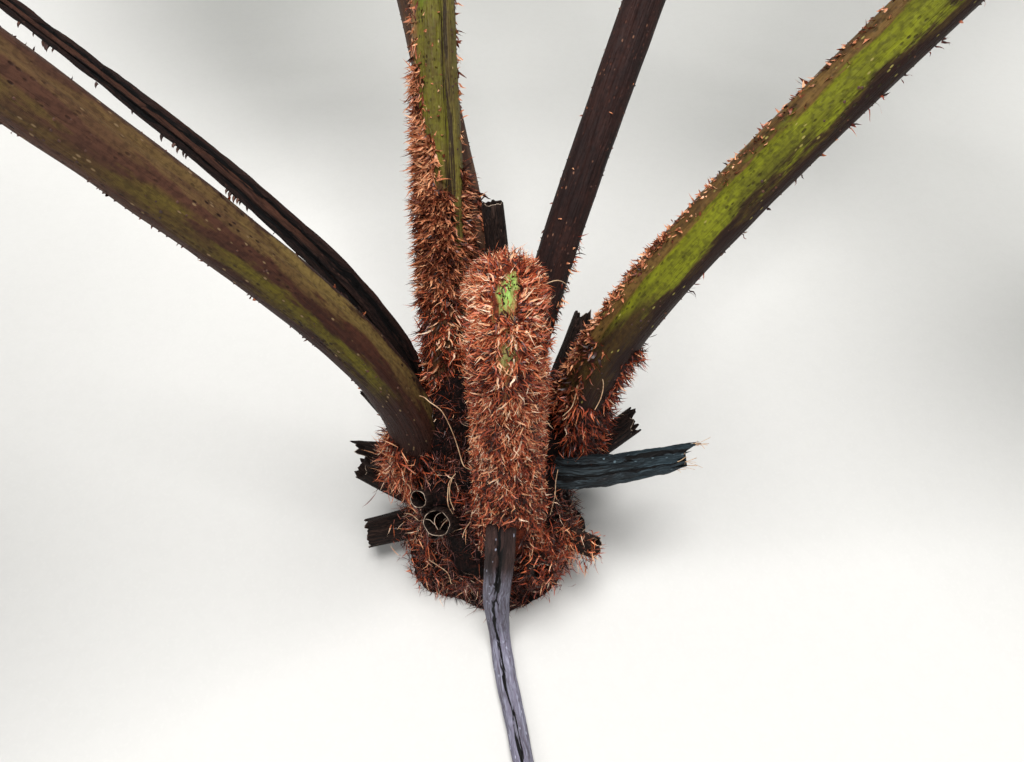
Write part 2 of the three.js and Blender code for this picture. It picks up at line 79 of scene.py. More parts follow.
# Waves round the trunk: how many, their twist for each mm of height, and their share.
TRUNK_WAVES = [(5, 0.07, 1.0), (8, -0.1, 0.6)]
TRUNK_TIP_FADE = 20
TRUNK_ROWS = 90
TRUNK_COLUMNS = 200
OLD_BASES = 62
OLD_BASE_TURN = math.radians(137.5)
OLD_BASE_WIDE = 8
OLD_BASE_TALL = 17
OLD_BASE_DEEP = 4.5
OLD_BASE_LOWEST = 10
OLD_BASE_RISE = 1.9
OLD_BASE_EDGE = 1.2
BARK_SUNK = 2.5
FIBRE_DEEP = 1.1
FIBRE_COARSE = 3.2
FIBRE_FINE = 1.4
FIBRE_FINE_SHARE = 0.6
FIBRE_PRESSED = 0.12


def from_table(table, x):
    """Value at x of a table of (x, value) rows, straight between rows."""
    return np.interp(x, [row[0] for row in table], [row[1] for row in table])


def turns_round(columns):
    """Turns of so many points spread evenly round a circle."""
    return np.linspace(0, 2 * math.pi, columns, endpoint=False)


def half_turn(angle):
    """The same angle, brought within half a turn either way."""
    return (angle + math.pi) % (2 * math.pi) - math.pi


def lumps(points, size, shift=0.0):
    """Smooth random value from -1 to 1 at each point in mm, in lumps of about that size."""
    places = (np.asarray(points) / size + shift).reshape(-1, 3)
    return np.array([noise.noise(place) for place in places.tolist()]).reshape(np.shape(points)[:-1])


def grid_faces(rows, columns, start=0):
    """Four-cornered faces of a tube of rows that each go round through equally many points."""
    row, column = np.meshgrid(np.arange(rows - 1), np.arange(columns), indexing="ij")
    following = (column + 1) % columns
    corners = [row * columns + column, row * columns + following,
               (row + 1) * columns + following, (row + 1) * columns + column]
    return (np.stack(corners, axis=-1).reshape(-1, 4) + start).tolist()


def closed_faces(rows, columns, start=0, upright=False):
    """Faces of a tube with both its ends closed; upright tubes have rows that go round the other way."""
    first = [start + i for i in range(columns)]
    last = [start + (rows - 1) * columns + i for i in range(columns)]
    caps = [first[::-1], last] if upright else [first, last[::-1]]
    return grid_faces(rows, columns, start) + caps


def make_piece(name, points, faces, finishes, tones=None, straight=None):
    """Smooth mesh piece from points in mm, with a finish picked for each face by its tone."""
    mesh = bpy.data.meshes.new(name)
    mesh.from_pydata((np.asarray(points).reshape(-1, 3) * MM).tolist(), [], faces)
    for finish in finishes:
        mesh.materials.append(finish)
    if tones is not None:
        mesh.polygons.foreach_set("material_index", np.asarray(tones, dtype=np.int32).ravel())
    mesh.polygons.foreach_set("use_smooth", np.ones(len(mesh.polygons), dtype=bool))
    if straight is not None:
        kept = mesh.attributes.new("straight", "FLOAT_VECTOR", "POINT")
        kept.data.foreach_set("vector", (np.asarray(straight) * MM).astype(np.float32).ravel())
    mesh.update()
    piece = bpy.data.objects.new(name, mesh)
    bpy.context.scene.collection.objects.link(piece)
    return piece


def colour(value):
    """Parts of 0 to 255, as seen on a screen, made linear for a shader. A node's output stays as it is."""
    if isinstance(value, bpy.types.NodeSocket):
        return value
    parts = [part / 255 for part in value]
    return (*[p / 12.92 if p <= 0.04045 else ((p + 0.055) / 1.055) ** 2.4 for p in parts], 1.0)


def add(tree, kind, inputs=(), **settings):
    """New shader node: its settings first, then each input set to a value or joined to an output."""
    node = tree.nodes.new(kind)
    for name, value in settings.items():
        setattr(node, name, value)
    for name, value in dict(inputs).items():
        if isinstance(value, bpy.types.NodeSocket):
            tree.links.new(value, node.inputs[name])
        else:
            node.inputs[name].default_value = value
    return node


def blended(tree, share, first, second):
    """Colour between two, by a share from 0 to 1. Each is three parts of 0 to 255 or a node's output."""
    inputs = {0: share, 6: colour(first), 7: colour(second)}
    return add(tree, "ShaderNodeMix", inputs, data_type="RGBA").outputs[2]


def maths(tree, operation, first, second=0.0):
    """Result of one sum on two values."""
    return add(tree, "ShaderNodeMath", {0: first, 1: second}, operation=operation).outputs[0]


def rise(tree, value, low, high):
    """Smooth step from 0 where the value is low to 1 where it is high."""
    node = add(tree, "ShaderNodeMapRange", {"Value": value, "From Min": low, "From Max": high})
    node.interpolation_type = "SMOOTHSTEP"
    return node.outputs["Result"]


def new_group(name, takes, gives):
    """Empty node group with named inputs and outputs: its tree, its inputs and its output node."""
    tree = bpy.data.node_groups.new(name, "ShaderNodeTree")
    for label, kind in takes:
        tree.interface.new_socket(label, in_out="INPUT", socket_type="NodeSocket" + kind)
    for label, kind in gives:
        tree.interface.new_socket(label, in_out="OUTPUT", socket_type="NodeSocket" + kind)
    return tree, tree.nodes.new("NodeGroupInput").outputs, tree.nodes.new("NodeGroupOutput")


def new_finish(name, roughness, shine=0.5):
    """New material with its node tree and its shader."""
    finish = bpy.data.materials.new(name)
    finish.use_nodes = True
    shader = finish.node_tree.nodes["Principled BSDF"]
    shader.inputs["Roughness"].default_value = roughness
    shader.inputs["Specular IOR Level"].default_value = shine
    return finish, finish.node_tree, shader


def object_place(tree):
    """Place on the object, in metres."""
    return add(tree, "ShaderNodeTexCoord").outputs["Object"]


def set_bump(tree, shader, height, distance):
    """Fine relief on the shader from a height of 0 to 1, that many metres deep."""
    bump = add(tree, "ShaderNodeBump", {"Height": height, "Distance": distance, "Strength": 1.0})
    tree.links.new(bump.outputs["Normal"], shader.inputs["Normal"])


# Blotches of a second and a third colour over the first, the third in finer spots.
SPOTS_FINER = 3.7
mottle, taken, given = new_group(
    "mottle",
    [("Vector", "Vector"), ("Size", "Float"), ("First", "Color"), ("Second", "Color"), ("Third", "Color")],
    [("Color", "Color")],
)
how_many = maths(mottle, "DIVIDE", 1.0, taken["Size"])
broad = add(mottle, "ShaderNodeTexNoise", {"Vector": taken["Vector"], "Scale": how_many, "Detail": 3.0})
fine = add(mottle, "ShaderNodeTexNoise", {
    "Vector": taken["Vector"], "Scale": maths(mottle, "MULTIPLY", how_many, SPOTS_FINER), "Detail": 2.0,
})
broad_mask = rise(mottle, broad.outputs["Fac"], 0.4, 0.62)
both = blended(mottle, broad_mask, taken["First"], taken["Second"])
all_three = blended(mottle, rise(mottle, fine.outputs["Fac"], 0.52, 0.68), both, taken["Third"])
mottle.links.new(all_three, given.inputs["Color"])


def mottled(tree, place, size, first, second, third):
    """Colour output of the mottle group, placed with its own values."""
    return add(tree, "ShaderNodeGroup", {
        "Vector": place, "Size": size,
        "First": colour(first), "Second": colour(second), "Third": colour(third),
    }, node_tree=mottle).outputs["Color"]


# Long thin marks that run along the third direction of the coordinates.
streaks, taken, given = new_group(
    "streaks", [("Vector", "Vector"), ("Width", "Float"), ("Length", "Float")], [("Mask", "Float")],
)
across_scale = maths(streaks, "DIVIDE", 1.0, taken["Width"])
along_scale = maths(streaks, "DIVIDE", 1.0, taken["Length"])
spacing = add(streaks, "ShaderNodeCombineXYZ", {"X": across_scale, "Y": across_scale, "Z": along_scale})
stretched = add(streaks, "ShaderNodeVectorMath", {
    0: taken["Vector"], 1: spacing.outputs["Vector"],
}, operation="MULTIPLY")
grain = add(streaks, "ShaderNodeTexNoise", {
    "Vector": stretched.outputs["Vector"], "Scale": 1.0, "Detail": 4.0, "Roughness": 0.6,
})
streaks.links.new(rise(streaks, grain.outputs["Fac"], 0.35, 0.66), given.inputs["Mask"])


def streaked(tree, place, width, length):
    """Mask output of the streaks group, placed with its own values."""
    return add(tree, "ShaderNodeGroup", {
        "Vector": place, "Width": width, "Length": length,
    }, node_tree=streaks).outputs["Mask"]


def trunk_bark():
    """Finish of the trunk: near-black brown fibre with rusty and greyish threads, quite matt."""
    finish, tree, shader = new_finish("trunk_bark", 0.9, 0.12)
    place = object_place(tree)
    threads = streaked(tree, place, 0.0012, 0.02)
    ground_tint = mottled(tree, place, 0.012, (18, 11, 10), (38, 21, 18), (64, 36, 31))
    tint = blended(tree, threads, ground_tint, (14, 9, 9))
    tree.links.new(tint, shader.inputs["Base Color"])
    set_bump(tree, shader, threads, 0.0012)
    return finish


def trunk_radius(turn, height):
    """Distance of the bark from the trunk's leaning axis."""
    bulge = sum(share * np.cos(waves * turn + height * twist) for waves, twist, share in TRUNK_WAVES)
    return from_table(TRUNK_PROFILE, height) * (1 + TRUNK_BULGE * bulge)


def trunk_point(turn, height, extra=0.0):
    """Point on the trunk's bark, or so many mm outside it."""
    radius = trunk_radius(turn, height) + extra
    away = np.stack([np.cos(turn), np.sin(turn), np.zeros_like(turn)], axis=-1)
    return TRUNK_LEAN * (height / TRUNK_TOP)[..., None] + away * radius[..., None] + np.multiply.outer(
        height, [0.0, 0.0, 1.0])


def old_base_relief(turn, height):
    """How far the overlapping bases of old fronds stand out, each ending in a step at its top."""
    relief = np.zeros_like(turn)
    for i in range(OLD_BASES):
        middle = i * OLD_BASE_TURN
        top = OLD_BASE_LOWEST + i * OLD_BASE_RISE
        off = half_turn(turn - middle)
        sideways = off * trunk_radius(turn, height) / OLD_BASE_WIDE
        below = (top - height) / OLD_BASE_TALL
        body = np.clip(1 - below, 0, 1) * (below > 0)
        edge = np.exp(-np.clip(-below, 0, None) * OLD_BASE_TALL / OLD_BASE_EDGE) * (below <= 0)
        relief = np.maximum(relief, (body + edge) * np.exp(-(sideways ** 2)))
    return relief * OLD_BASE_DEEP


turn_grid, height_grid = np.meshgrid(turns_round(TRUNK_COLUMNS), np.linspace(0, TRUNK_TOP, TRUNK_ROWS))
bark = trunk_point(turn_grid, height_grid)
strands = bark * [1, 1, FIBRE_PRESSED]
fibre = lumps(strands, FIBRE_COARSE) + FIBRE_FINE_SHARE * lumps(strands, FIBRE_FINE, 5.0)
fade_in = np.clip((TRUNK_TOP - height_grid) / TRUNK_TIP_FADE, 0, 1)
relief = old_base_relief(turn_grid, height_grid) * fade_in - BARK_SUNK * fade_in
bark = trunk_point(turn_grid, height_grid, relief + FIBRE_DEEP * fibre * fade_in)
bark[0, :, 2] = 0
trunk_faces = closed_faces(TRUNK_ROWS, TRUNK_COLUMNS, upright=True)
trunk = make_piece("trunk_bark", bark, trunk_faces, [trunk_bark()])
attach(trunk, "root")
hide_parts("trunk")

# Stalks of the live fronds
# Each real stalk is a solid woody rod with a smooth hard rind, green above and dark below, with a groove
# along its upper side. It grows out of the shoulder of the trunk, and its foot is clasped by scales.
FRAME_STEP = 5
STALK_SUNK = 40
STALK_TUCK = 0.01
STALK_SETTLES = 60
STALK_SAG = 0.01
STALK_GROOVE = 0.16
GROOVE_WIDTH = 0.2
FOOT_SWELL = 0.2
FOOT_LENGTH = 25
MEASURED_AT = 350
ARCH_START = 400
SWAY_START = 280
SWAY_LENGTH = 950
RIB_TIP_RADIUS = 1.6
RIB_TAPER = 1.15
BLADE_START = 480
LIVE_FLATNESS = 0.93
STALK_COLUMNS = 60
STALK_STEP = 4
RIND_RELIEF = 0.32
RIND_RIDGE = 2.4
DENT_RELIEF = 0.35
DENT_SIZE = 11.0
LIVE_FRONDS = {
    "left": dict(
        root=(-44, 2, 92), heading=183.6, root_lift=98, lift=54, sway=30, arch=24,
        width=(28, 28.5), length=1780, leaflet=345, share=1,
    ),
    "back_left": dict(
        root=(-23, 32, 110), heading=93.4, root_lift=51, lift=40.8, sway=-8, arch=20,
        width=(26.5, 24.5), length=1740, leaflet=330, share=1, groove_at=32,
    ),
    "back": dict(
        root=(0, 56, 96), heading=105, root_lift=72, lift=31, sway=28, arch=15,
        width=(25, 22), length=1560, leaflet=300, share=1,
    ),
    "back_right": dict(
        root=(17, 34, 106), heading=65, root_lift=64, lift=38.5, sway=-14, arch=18,
        width=(20.5, 24.3), length=1700, leaflet=325, share=1,
    ),
    "right": dict(
        root=(52, 14, 97), heading=22.8, root_lift=97, lift=45.2, sway=-32, arch=21,
        width=(29, 27), length=1760, leaflet=345, share=1,
    ),
}


class Path:
    """Middle line of a stalk, with its side, its upper side and its half width all along."""

    def __init__(self, distance, centre, along, side, upper, half, flatness, groove_at=0.0):
        self.distance = distance
        self.lines = {"centre": centre, "along": along, "side": side, "upper": upper}
        self.half = half
        self.flatness = flatness
        self.groove_at = math.radians(groove_at)

    def line(self, name, distance):
        """One of the path's lines at the distances."""
        rows = self.lines[name]
        return np.stack([np.interp(distance, self.distance, rows[:, k]) for k in range(3)], axis=-1)

    def direction(self, name, distance):
        """One of the path's directions at the distances, of length 1."""
        found = self.line(name, distance)
        return found / np.linalg.norm(found, axis=-1, keepdims=True)

    def half_at(self, distance):
        """Half width at the distances."""
        return np.interp(distance, self.distance, self.half)

    def surface(self, distance, turn, groove=0.0, extra=0.0):
        """Points on the surface and their outward directions; turn 0 is the middle of the upper side."""
        off = half_turn(turn - self.groove_at)
        reach = self.half_at(distance) * (1 - groove * np.exp(-((off / GROOVE_WIDTH) ** 2))) + extra
        side = self.direction("side", distance)
        upper = self.direction("upper", distance)
        sideways = np.sin(turn)[..., None] * side
        upwards = np.cos(turn)[..., None] * upper
        points = self.line("centre", distance) + reach[..., None] * (sideways + self.flatness * upwards)
        return points, sideways + upwards


def frond_path(frond, flatness):
    """Path of a frond: rising at its root, settling to its own lift, then arching and swaying to its tip."""
    distance = np.arange(0, frond["length"] + FRAME_STEP + 1, FRAME_STEP)
    swaying = np.clip((distance - SWAY_START) / SWAY_LENGTH, 0, 1)
    heading = np.radians(frond["heading"] + frond["sway"] * swaying ** 2 * (3 - 2 * swaying))
    settling = (frond["root_lift"] - frond["lift"]) * np.exp(-distance / STALK_SETTLES)
    arching = frond["arch"] * (np.maximum(0, distance - ARCH_START) / 1000) ** 2
    lift = np.radians(frond["lift"] + settling - STALK_SAG * distance - arching)
    along = np.stack([np.cos(heading) * np.cos(lift), np.sin(heading) * np.cos(lift), np.sin(lift)], axis=-1)
    side = np.stack([np.sin(heading), -np.cos(heading), np.zeros_like(heading)], axis=-1)
    centre = np.array(frond["root"]) + np.vstack([np.zeros(3), np.cumsum(along[:-1] * FRAME_STEP, axis=0)])
    sunk = np.arange(-STALK_SUNK, 0, FRAME_STEP)
    inward = (TRUNK_LEAN - centre[0]) * [1, 1, 0]
    inward /= np.linalg.norm(inward)
    sunk_centre = centre[0] + np.outer(sunk, along[0]) + STALK_TUCK * np.outer(sunk ** 2, inward)
    centre = np.vstack([sunk_centre, centre])
    along = np.vstack([np.tile(along[0], (len(sunk), 1)), along])
    side = np.vstack([np.tile(side[0], (len(sunk), 1)), side])
    distance = np.concatenate([sunk, distance]).astype(float)
    wide, later = frond["width"]
    swell = 1 + FOOT_SWELL * np.exp(-np.maximum(0, distance) / FOOT_LENGTH)
    near = np.interp(distance, [0, MEASURED_AT], [wide, later]) / 2 * swell
    left = np.clip(1 - (distance - MEASURED_AT) / (frond["length"] - MEASURED_AT), 0, 1)
    far = left ** RIB_TAPER * (later / 2 - RIB_TIP_RADIUS) + RIB_TIP_RADIUS
    half = np.where(distance < MEASURED_AT, near, far)
    groove_at = frond.get("groove_at", 0)
    return Path(distance, centre, along, side, np.cross(side, along), half, flatness, groove_at)


def tube(path, stations, columns, groove=0.0, relief=None, torn=None):
    """Points, faces and straightened places of a stalk's surface through the given distances."""
    distance, turn = np.meshgrid(stations, turns_round(columns), indexing="ij")
    if torn:
        distance = torn(distance, turn)
    half = path.half_at(distance)
    straight = np.stack([half * np.sin(turn), half * np.cos(turn), distance], axis=-1)
    extra = relief(straight) if relief else 0.0
    points, _ = path.surface(distance, turn, groove, extra)
    return points.reshape(-1, 3), closed_faces(len(stations), columns), straight.reshape(-1, 3)


def rind_relief(straight):
    """Low ridges along a rind, and slight dents."""
    ridges = lumps(straight * [1, 1, 0.05], RIND_RIDGE)
    return RIND_RELIEF * ridges + DENT_RELIEF * lumps(straight * [1, 1, 0.5], DENT_SIZE, 3.0)


# A band of directions round a straightened stalk: 1 within reach of the middle direction, 0 outside.
BAND_WAVER = 0.4
facing, taken, given = new_group(
    "facing",
    [("Vector", "Vector"), ("Middle", "Float"), ("Reach", "Float"), ("Blur", "Float"), ("Waver", "Float")],
    [("Mask", "Float")],
)
parts = add(facing, "ShaderNodeSeparateXYZ", {0: taken["Vector"]})
turned = maths(facing, "ARCTAN2", parts.outputs["X"], parts.outputs["Y"])
offset = maths(facing, "SUBTRACT", turned, taken["Middle"])
swing = maths(facing, "MULTIPLY", maths(facing, "SUBTRACT", taken["Waver"], 0.5), BAND_WAVER)
wrapped = add(facing, "ShaderNodeMath", {
    0: maths(facing, "ADD", offset, swing), 1: math.pi, 2: -math.pi,
}, operation="WRAP").outputs[0]
outside = maths(facing, "SUBTRACT", maths(facing, "ABSOLUTE", wrapped), taken["Reach"])
facing.links.new(
    maths(facing, "SUBTRACT", 1.0, rise(facing, maths(facing, "DIVIDE", outside, taken["Blur"]), 0.0, 1.0)),
    given.inputs["Mask"],
)

# Small spots, longer along the stalk than across, one in each cell, on the given share of the cells.
FLECK_PRESSED = (1.0, 1.0, 0.5)
flecks, taken, given = new_group(
    "flecks", [("Vector", "Vector"), ("Size", "Float"), ("Share", "Float")], [("Mask", "Float")],
)
pressed = add(flecks, "ShaderNodeVectorMath", {0: taken["Vector"], 1: FLECK_PRESSED}, operation="MULTIPLY")
cells = add(flecks, "ShaderNodeTexVoronoi", {
    "Vector": pressed.outputs["Vector"], "Scale": maths(flecks, "DIVIDE", 1.0, taken["Size"]),
})
spot = maths(flecks, "SUBTRACT", 1.0, rise(flecks, cells.outputs["Distance"], 0.2, 0.42))
picked = add(flecks, "ShaderNodeSeparateColor", {0: cells.outputs["Color"]})
chosen = maths(flecks, "LESS_THAN", picked.outputs[0], taken["Share"])
flecks.links.new(maths(flecks, "MULTIPLY", spot, chosen), given.inputs["Mask"])


def straight_place(tree):
    """Place on a straightened stalk, in metres: sideways, upwards and along it."""
    return add(tree, "ShaderNodeAttribute", attribute_name="straight").outputs["Vector"]


def facing_mask(tree, place, middle, reach, blur, waver):
    """Mask output of the facing group, its angles given in degrees."""
    return add(tree, "ShaderNodeGroup", {
        "Vector": place, "Middle": math.radians(middle), "Reach": math.radians(reach),
        "Blur": math.radians(blur), "Waver": waver,
    }, node_tree=facing).outputs["Mask"]


def fleck_mask(tree, place, size, share):
    """Mask output of the flecks group, placed with its own values."""
    return add(tree, "ShaderNodeGroup", {
        "Vector": place, "Size": size, "Share": share,
    }, node_tree=flecks).outputs["Mask"]


def stalk_rind(name, look):
    """Finish of a live stalk: bands of colour along it over a dark rind, with streaks, patches and flecks,
    and painted shade in its groove where a groove tint is given.
    """
    finish, tree, shader = new_finish("rind_" + name, look["rough"], RIND_SHINE)
    place = straight_place(tree)
    along = add(tree, "ShaderNodeSeparateXYZ", {0: place}).outputs["Z"]
    lines = streaked(tree, place, *RIND_LINES)
    patches = streaked(tree, place, *RIND_PATCHES)
    broad = streaked(tree, place, *RIND_BROAD)
    tint = blended(tree, lines, *look["rind"])
    swing = maths(tree, "MULTIPLY", maths(tree, "SUBTRACT", broad, 0.5), BAND_START_SWING)
    wavering = maths(tree, "ADD", along, swing)
    for middle, reach, blur, begins, first, second in look["bands"]:
        begun = rise(tree, wavering, (begins - BAND_FADE) * MM, (begins + BAND_FADE) * MM)
        band = maths(tree, "MULTIPLY", begun, facing_mask(tree, place, middle, reach, blur, patches))
        tint = blended(tree, band, tint, blended(tree, patches, first, second))
    if "far_tint" in look:
        far = maths(tree, "MULTIPLY", rise(tree, wavering, FAR_FROM * MM, FAR_TO * MM), look["far"])
        tint = blended(tree, far, tint, look["far_tint"])
    tint = blended(tree, maths(tree, "MULTIPLY", lines, RIND_LINE_SHARE), tint, look["rind"][0])
    grainy = add(tree, "ShaderNodeTexNoise", {"Vector": place, "Scale": RIND_GRAIN, "Detail": 3.0})
    grain_mask = rise(tree, grainy.outputs["Fac"], 0.44, 0.66)
    tint = blended(tree, maths(tree, "MULTIPLY", grain_mask, RIND_GRAIN_SHARE), tint, look["rind"][1])
    dark_flecks = maths(tree, "MULTIPLY", fleck_mask(tree, place, FLECK_SIZE, look["flecks"]), broad)
    tint = blended(tree, dark_flecks, tint, look["fleck_tint"])
    tint = blended(tree, fleck_mask(tree, place, *PALE_SPECKS), tint, look["speck_tint"])
    # Painted shade: the groove of some stalks is darkened near black.
    if "groove_shade_tint" in look:
        groove = facing_mask(tree, place, look["groove"], GROOVE_SHADE_REACH, GROOVE_SHADE_BLUR, lines)
        tint = blended(tree, groove, tint, look["groove_shade_tint"])
    tree.links.new(tint, shader.inputs["Base Color"])
    height = maths(tree, "ADD", maths(tree, "MULTIPLY", lines, 0.6), patches)
    set_bump(tree, shader, maths(tree, "SUBTRACT", height, dark_flecks), 0.0005)
    return finish


# Streaks in the rind: their width and length in metres. Specks: their size in metres and their share.
RIND_LINES = (0.0013, 0.03)
RIND_PATCHES = (0.006, 0.028)
RIND_BROAD = (0.014, 0.09)
PALE_SPECKS = (0.0014, 0.03)
FLECK_SIZE = 0.0016
BAND_START_SWING = 0.03
RIND_SHINE = 0.15
RIND_LINE_SHARE = 0.22
RIND_GRAIN = 420.0
RIND_GRAIN_SHARE = 0.4
BAND_FADE = 16
FAR_FROM = 110
FAR_TO = 260
GROOVE_SHADE_REACH = 5
GROOVE_SHADE_BLUR = 4
# Each band: middle, reach and blur in degrees round the stalk, where it begins along it, and its two colours.
LIVE_LOOKS = {
    "left": dict(
        rough=0.6, rind=((58, 35, 29), (37, 22, 19)),
        bands=[
            (-70, 17, 20, 58, (106, 97, 30), (78, 64, 28)),
            (-39, 14, 18, 20, (80, 48, 36), (58, 33, 26)),
            # Painted highlight: the pale olive band along the stalk's top edge.
            (-8, 15, 16, 34, (130, 108, 60), (100, 76, 46)),
        ],
        far=0.6, far_tint=(96, 66, 51), flecks=0.3, fleck_tint=(38, 22, 18),
        speck_tint=(134, 110, 80),
    ),
    "back_left": dict(
        rough=0.52, rind=((92, 60, 36), (64, 42, 26)),
        bands=[
            (-70, 22, 12, 60, (138, 104, 62), (102, 74, 42)),
            (0, 50, 18, 112, (104, 100, 28), (80, 74, 26)),
            (0, 62, 14, 232, (98, 132, 26), (86, 104, 28)),
            (64, 30, 10, 66, (112, 104, 44), (84, 74, 34)),
        ],
        # The groove is darkened as painted shade.
        groove=32, groove_shade_tint=(46, 34, 18),
        flecks=0.3, fleck_tint=(52, 40, 20),
        speck_tint=(176, 150, 104),
    ),
    "back": dict(
        rough=0.6, rind=((54, 36, 30), (38, 25, 22)),
        bands=[(-8, 75, 30, -30, (88, 60, 42), (64, 42, 32))],
        far=0.3, far_tint=(84, 62, 38), flecks=0.3, fleck_tint=(30, 20, 16),
        speck_tint=(140, 104, 76),
    ),
    "back_right": dict(
        rough=0.62, rind=((28, 15, 14), (18, 10, 10)),
        bands=[(2, 55, 40, -30, (50, 28, 23), (33, 19, 17))],
        far=0.25, far_tint=(60, 35, 29), flecks=0.2, fleck_tint=(88, 52, 40),
        speck_tint=(130, 92, 72),
    ),
    "right": dict(
        rough=0.55, rind=((46, 26, 20), (32, 18, 15)),
        bands=[
            (20, 46, 16, 48, (76, 58, 27), (54, 39, 21)),
            (-34, 36, 16, 12, (116, 88, 46), (80, 56, 30)),
            (30, 24, 13, 92, (128, 132, 26), (98, 98, 24)),
        ],
        flecks=0.5, fleck_tint=(52, 44, 18),
        speck_tint=(150, 138, 74),
    ),
}
live_paths = {name: frond_path(frond, LIVE_FLATNESS) for name, frond in LIVE_FRONDS.items()}
rinds = {name: stalk_rind(name, look) for name, look in LIVE_LOOKS.items()}
for name, path in live_paths.items():
    stations = np.arange(-STALK_SUNK + FRAME_STEP, BLADE_START + 1, STALK_STEP)
    points, faces, straight = tube(path, stations, STALK_COLUMNS, STALK_GROOVE, rind_relief)
    stalk = make_piece("rind_" + name, points, faces, [rinds[name]], straight=straight)
    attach(stalk, "root")
    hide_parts("stalk_" + name)

# Warts on the live stalks
# The rind of this fern is rough with small hard warts of the same woody tissue. They stand on its sides and
# underside, where scales have fallen off.
WARTS_EACH = 260
WART_SIDES = 5
WART_ALONG = (30, BLADE_START - 20)
WART_ROUND = (48, 175)
WART_HEIGHT = (0.3, 0.9)
WART_SEED = 300


def cones(roots, out, lean, height, radius, sides):
    """Points and faces of many small pointed cones that stand on a surface."""
    across = np.cross(out, lean)
    across /= np.linalg.norm(across, axis=-1, keepdims=True)
    other = np.cross(across, out)
    turn = turns_round(sides)
    ring = (np.cos(turn)[None, :, None] * across[:, None] + np.sin(turn)[None, :, None] * other[:, None])
    foot = roots[:, None] - 0.3 * height[:, None, None] * out[:, None] + ring * radius[:, None, None]
    tip = roots + height[:, None] * (out + 0.5 * lean)
    points = np.concatenate([foot, tip[:, None]], axis=1)
    corner = np.arange(sides)
    one = np.stack([corner, (corner + 1) % sides, np.full(sides, sides)], axis=-1)
    faces = (one[None] + (sides + 1) * np.arange(len(roots))[:, None, None]).reshape(-1, 3)
    return points.reshape(-1, 3), faces.tolist()


def mottled_finish(name, roughness, size, tints, shine=0.5):
    """Finish in blotches of three tints, of about the given size."""
    finish, tree, shader = new_finish(name, roughness, shine)
    tree.links.new(mottled(tree, object_place(tree), size, *tints), shader.inputs["Base Color"])
    return finish


wart_tints = ((58, 32, 24), (92, 54, 34), (38, 24, 20))
wart_finish = mottled_finish("wart_wood", 0.6, 0.004, wart_tints)
for number, (name, path) in enumerate(live_paths.items()):
    rng = np.random.default_rng(WART_SEED + number)
    distance = rng.uniform(*WART_ALONG, WARTS_EACH)
    turn = rng.choice([-1, 1], WARTS_EACH) * np.radians(rng.uniform(*WART_ROUND, WARTS_EACH))
    roots, out = path.surface(distance, turn)
    height = rng.uniform(*WART_HEIGHT, WARTS_EACH)
    radius = 0.8 * height + 0.25
    points, faces = cones(roots, out, path.direction("along", distance), height, radius, WART_SIDES)
    warts = make_piece("warts_" + name, points, faces, [wart_finish])
    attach(warts, "root")
    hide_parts("stalk_" + name)

# Coiled new frond
# The newest frond is a stout fleshy stem, tightly coiled over backwards at its top. Its coat of scales hides
# all but one green stripe. It grows out of the middle of the trunk's top, at the front.
CROZIER_FOOT = np.array([11.0, -30.0, 56.0])
CROZIER_BEND = np.array([11.0, -20.0, 196.0])
CROZIER_RADIUS = (20.5, 17.5)
COIL_RADIUS = (22.5, 6)
COIL_TUBE = (17.5, 5)
COIL_TURNS = 1.5
COIL_START = 0.03
CROZIER_UNDER_COAT = 1.2
CROZIER_COLUMNS = 40
CROZIER_ROWS = 120
CROZIER_LUMP = 6
STEM_ROWS = 36
COIL_ROWS = 90
COIL_TIGHTENS = 0.8
PATCH_WAVER = 0.7
PATCH_OUTER = 1.15
# Each patch of the stripe: its middle and half its length along the stem, its reach round it in degrees and
# its lean in degrees for each mm. Then the share of its size at which it starts to fade, and its colours.
STRIPE = [
    ((150, 25, 17, 0.4), 0.2, ((164, 112, 70), (126, 78, 46), (192, 148, 102))),
    ((148.6, 6.4, 18, 0.0), 0.2, ((146, 154, 88), (130, 128, 68), (172, 156, 104))),
    ((163.5, 9, 22, 0.9), 0.2, ((148, 144, 80), (130, 120, 64), (172, 152, 100))),
    ((164.5, 6, 15, 0.9), 0.2, ((146, 184, 88), (134, 164, 78), (168, 194, 116))),
]


def crozier_path():
    """Path up the stem and round the coil; its upper side is the outer side of the coil."""
    rising = CROZIER_BEND - CROZIER_FOOT
    stem_length = np.linalg.norm(rising)
    rising = rising / stem_length
    side = np.array([1.0, 0.0, 0.0])
    inward = np.cross(rising, side)
    u = np.linspace(0, 1, STEM_ROWS)[:, None]
    stem = CROZIER_FOOT + u * (CROZIER_BEND - CROZIER_FOOT)
    turns = np.linspace(COIL_START, COIL_TURNS, COIL_ROWS)
    angle = 2 * math.pi * turns[:, None]
    away = -inward * np.cos(angle) + rising * np.sin(angle)
    reach = COIL_RADIUS[0] + (COIL_RADIUS[1] - COIL_RADIUS[0]) * (turns / COIL_TURNS) ** COIL_TIGHTENS
    coil = CROZIER_BEND + inward * COIL_RADIUS[0] + away * reach[:, None]
    centre = np.vstack([stem, coil])
    upper = np.vstack([np.tile(-inward, (len(u), 1)), away])
    steps = np.linalg.norm(np.diff(centre, axis=0), axis=1)
    distance = np.concatenate([[0], np.cumsum(steps)])
    along = np.gradient(centre, distance, axis=0)
    along /= np.linalg.norm(along, axis=1, keepdims=True)
    half = np.concatenate([
        np.interp(u[:, 0], [0, 1], CROZIER_RADIUS), np.interp(turns, [0, COIL_TURNS], COIL_TUBE),
    ])
    return Path(distance, centre, along, np.tile(side, (len(centre), 1)), upper, half, 1.0)


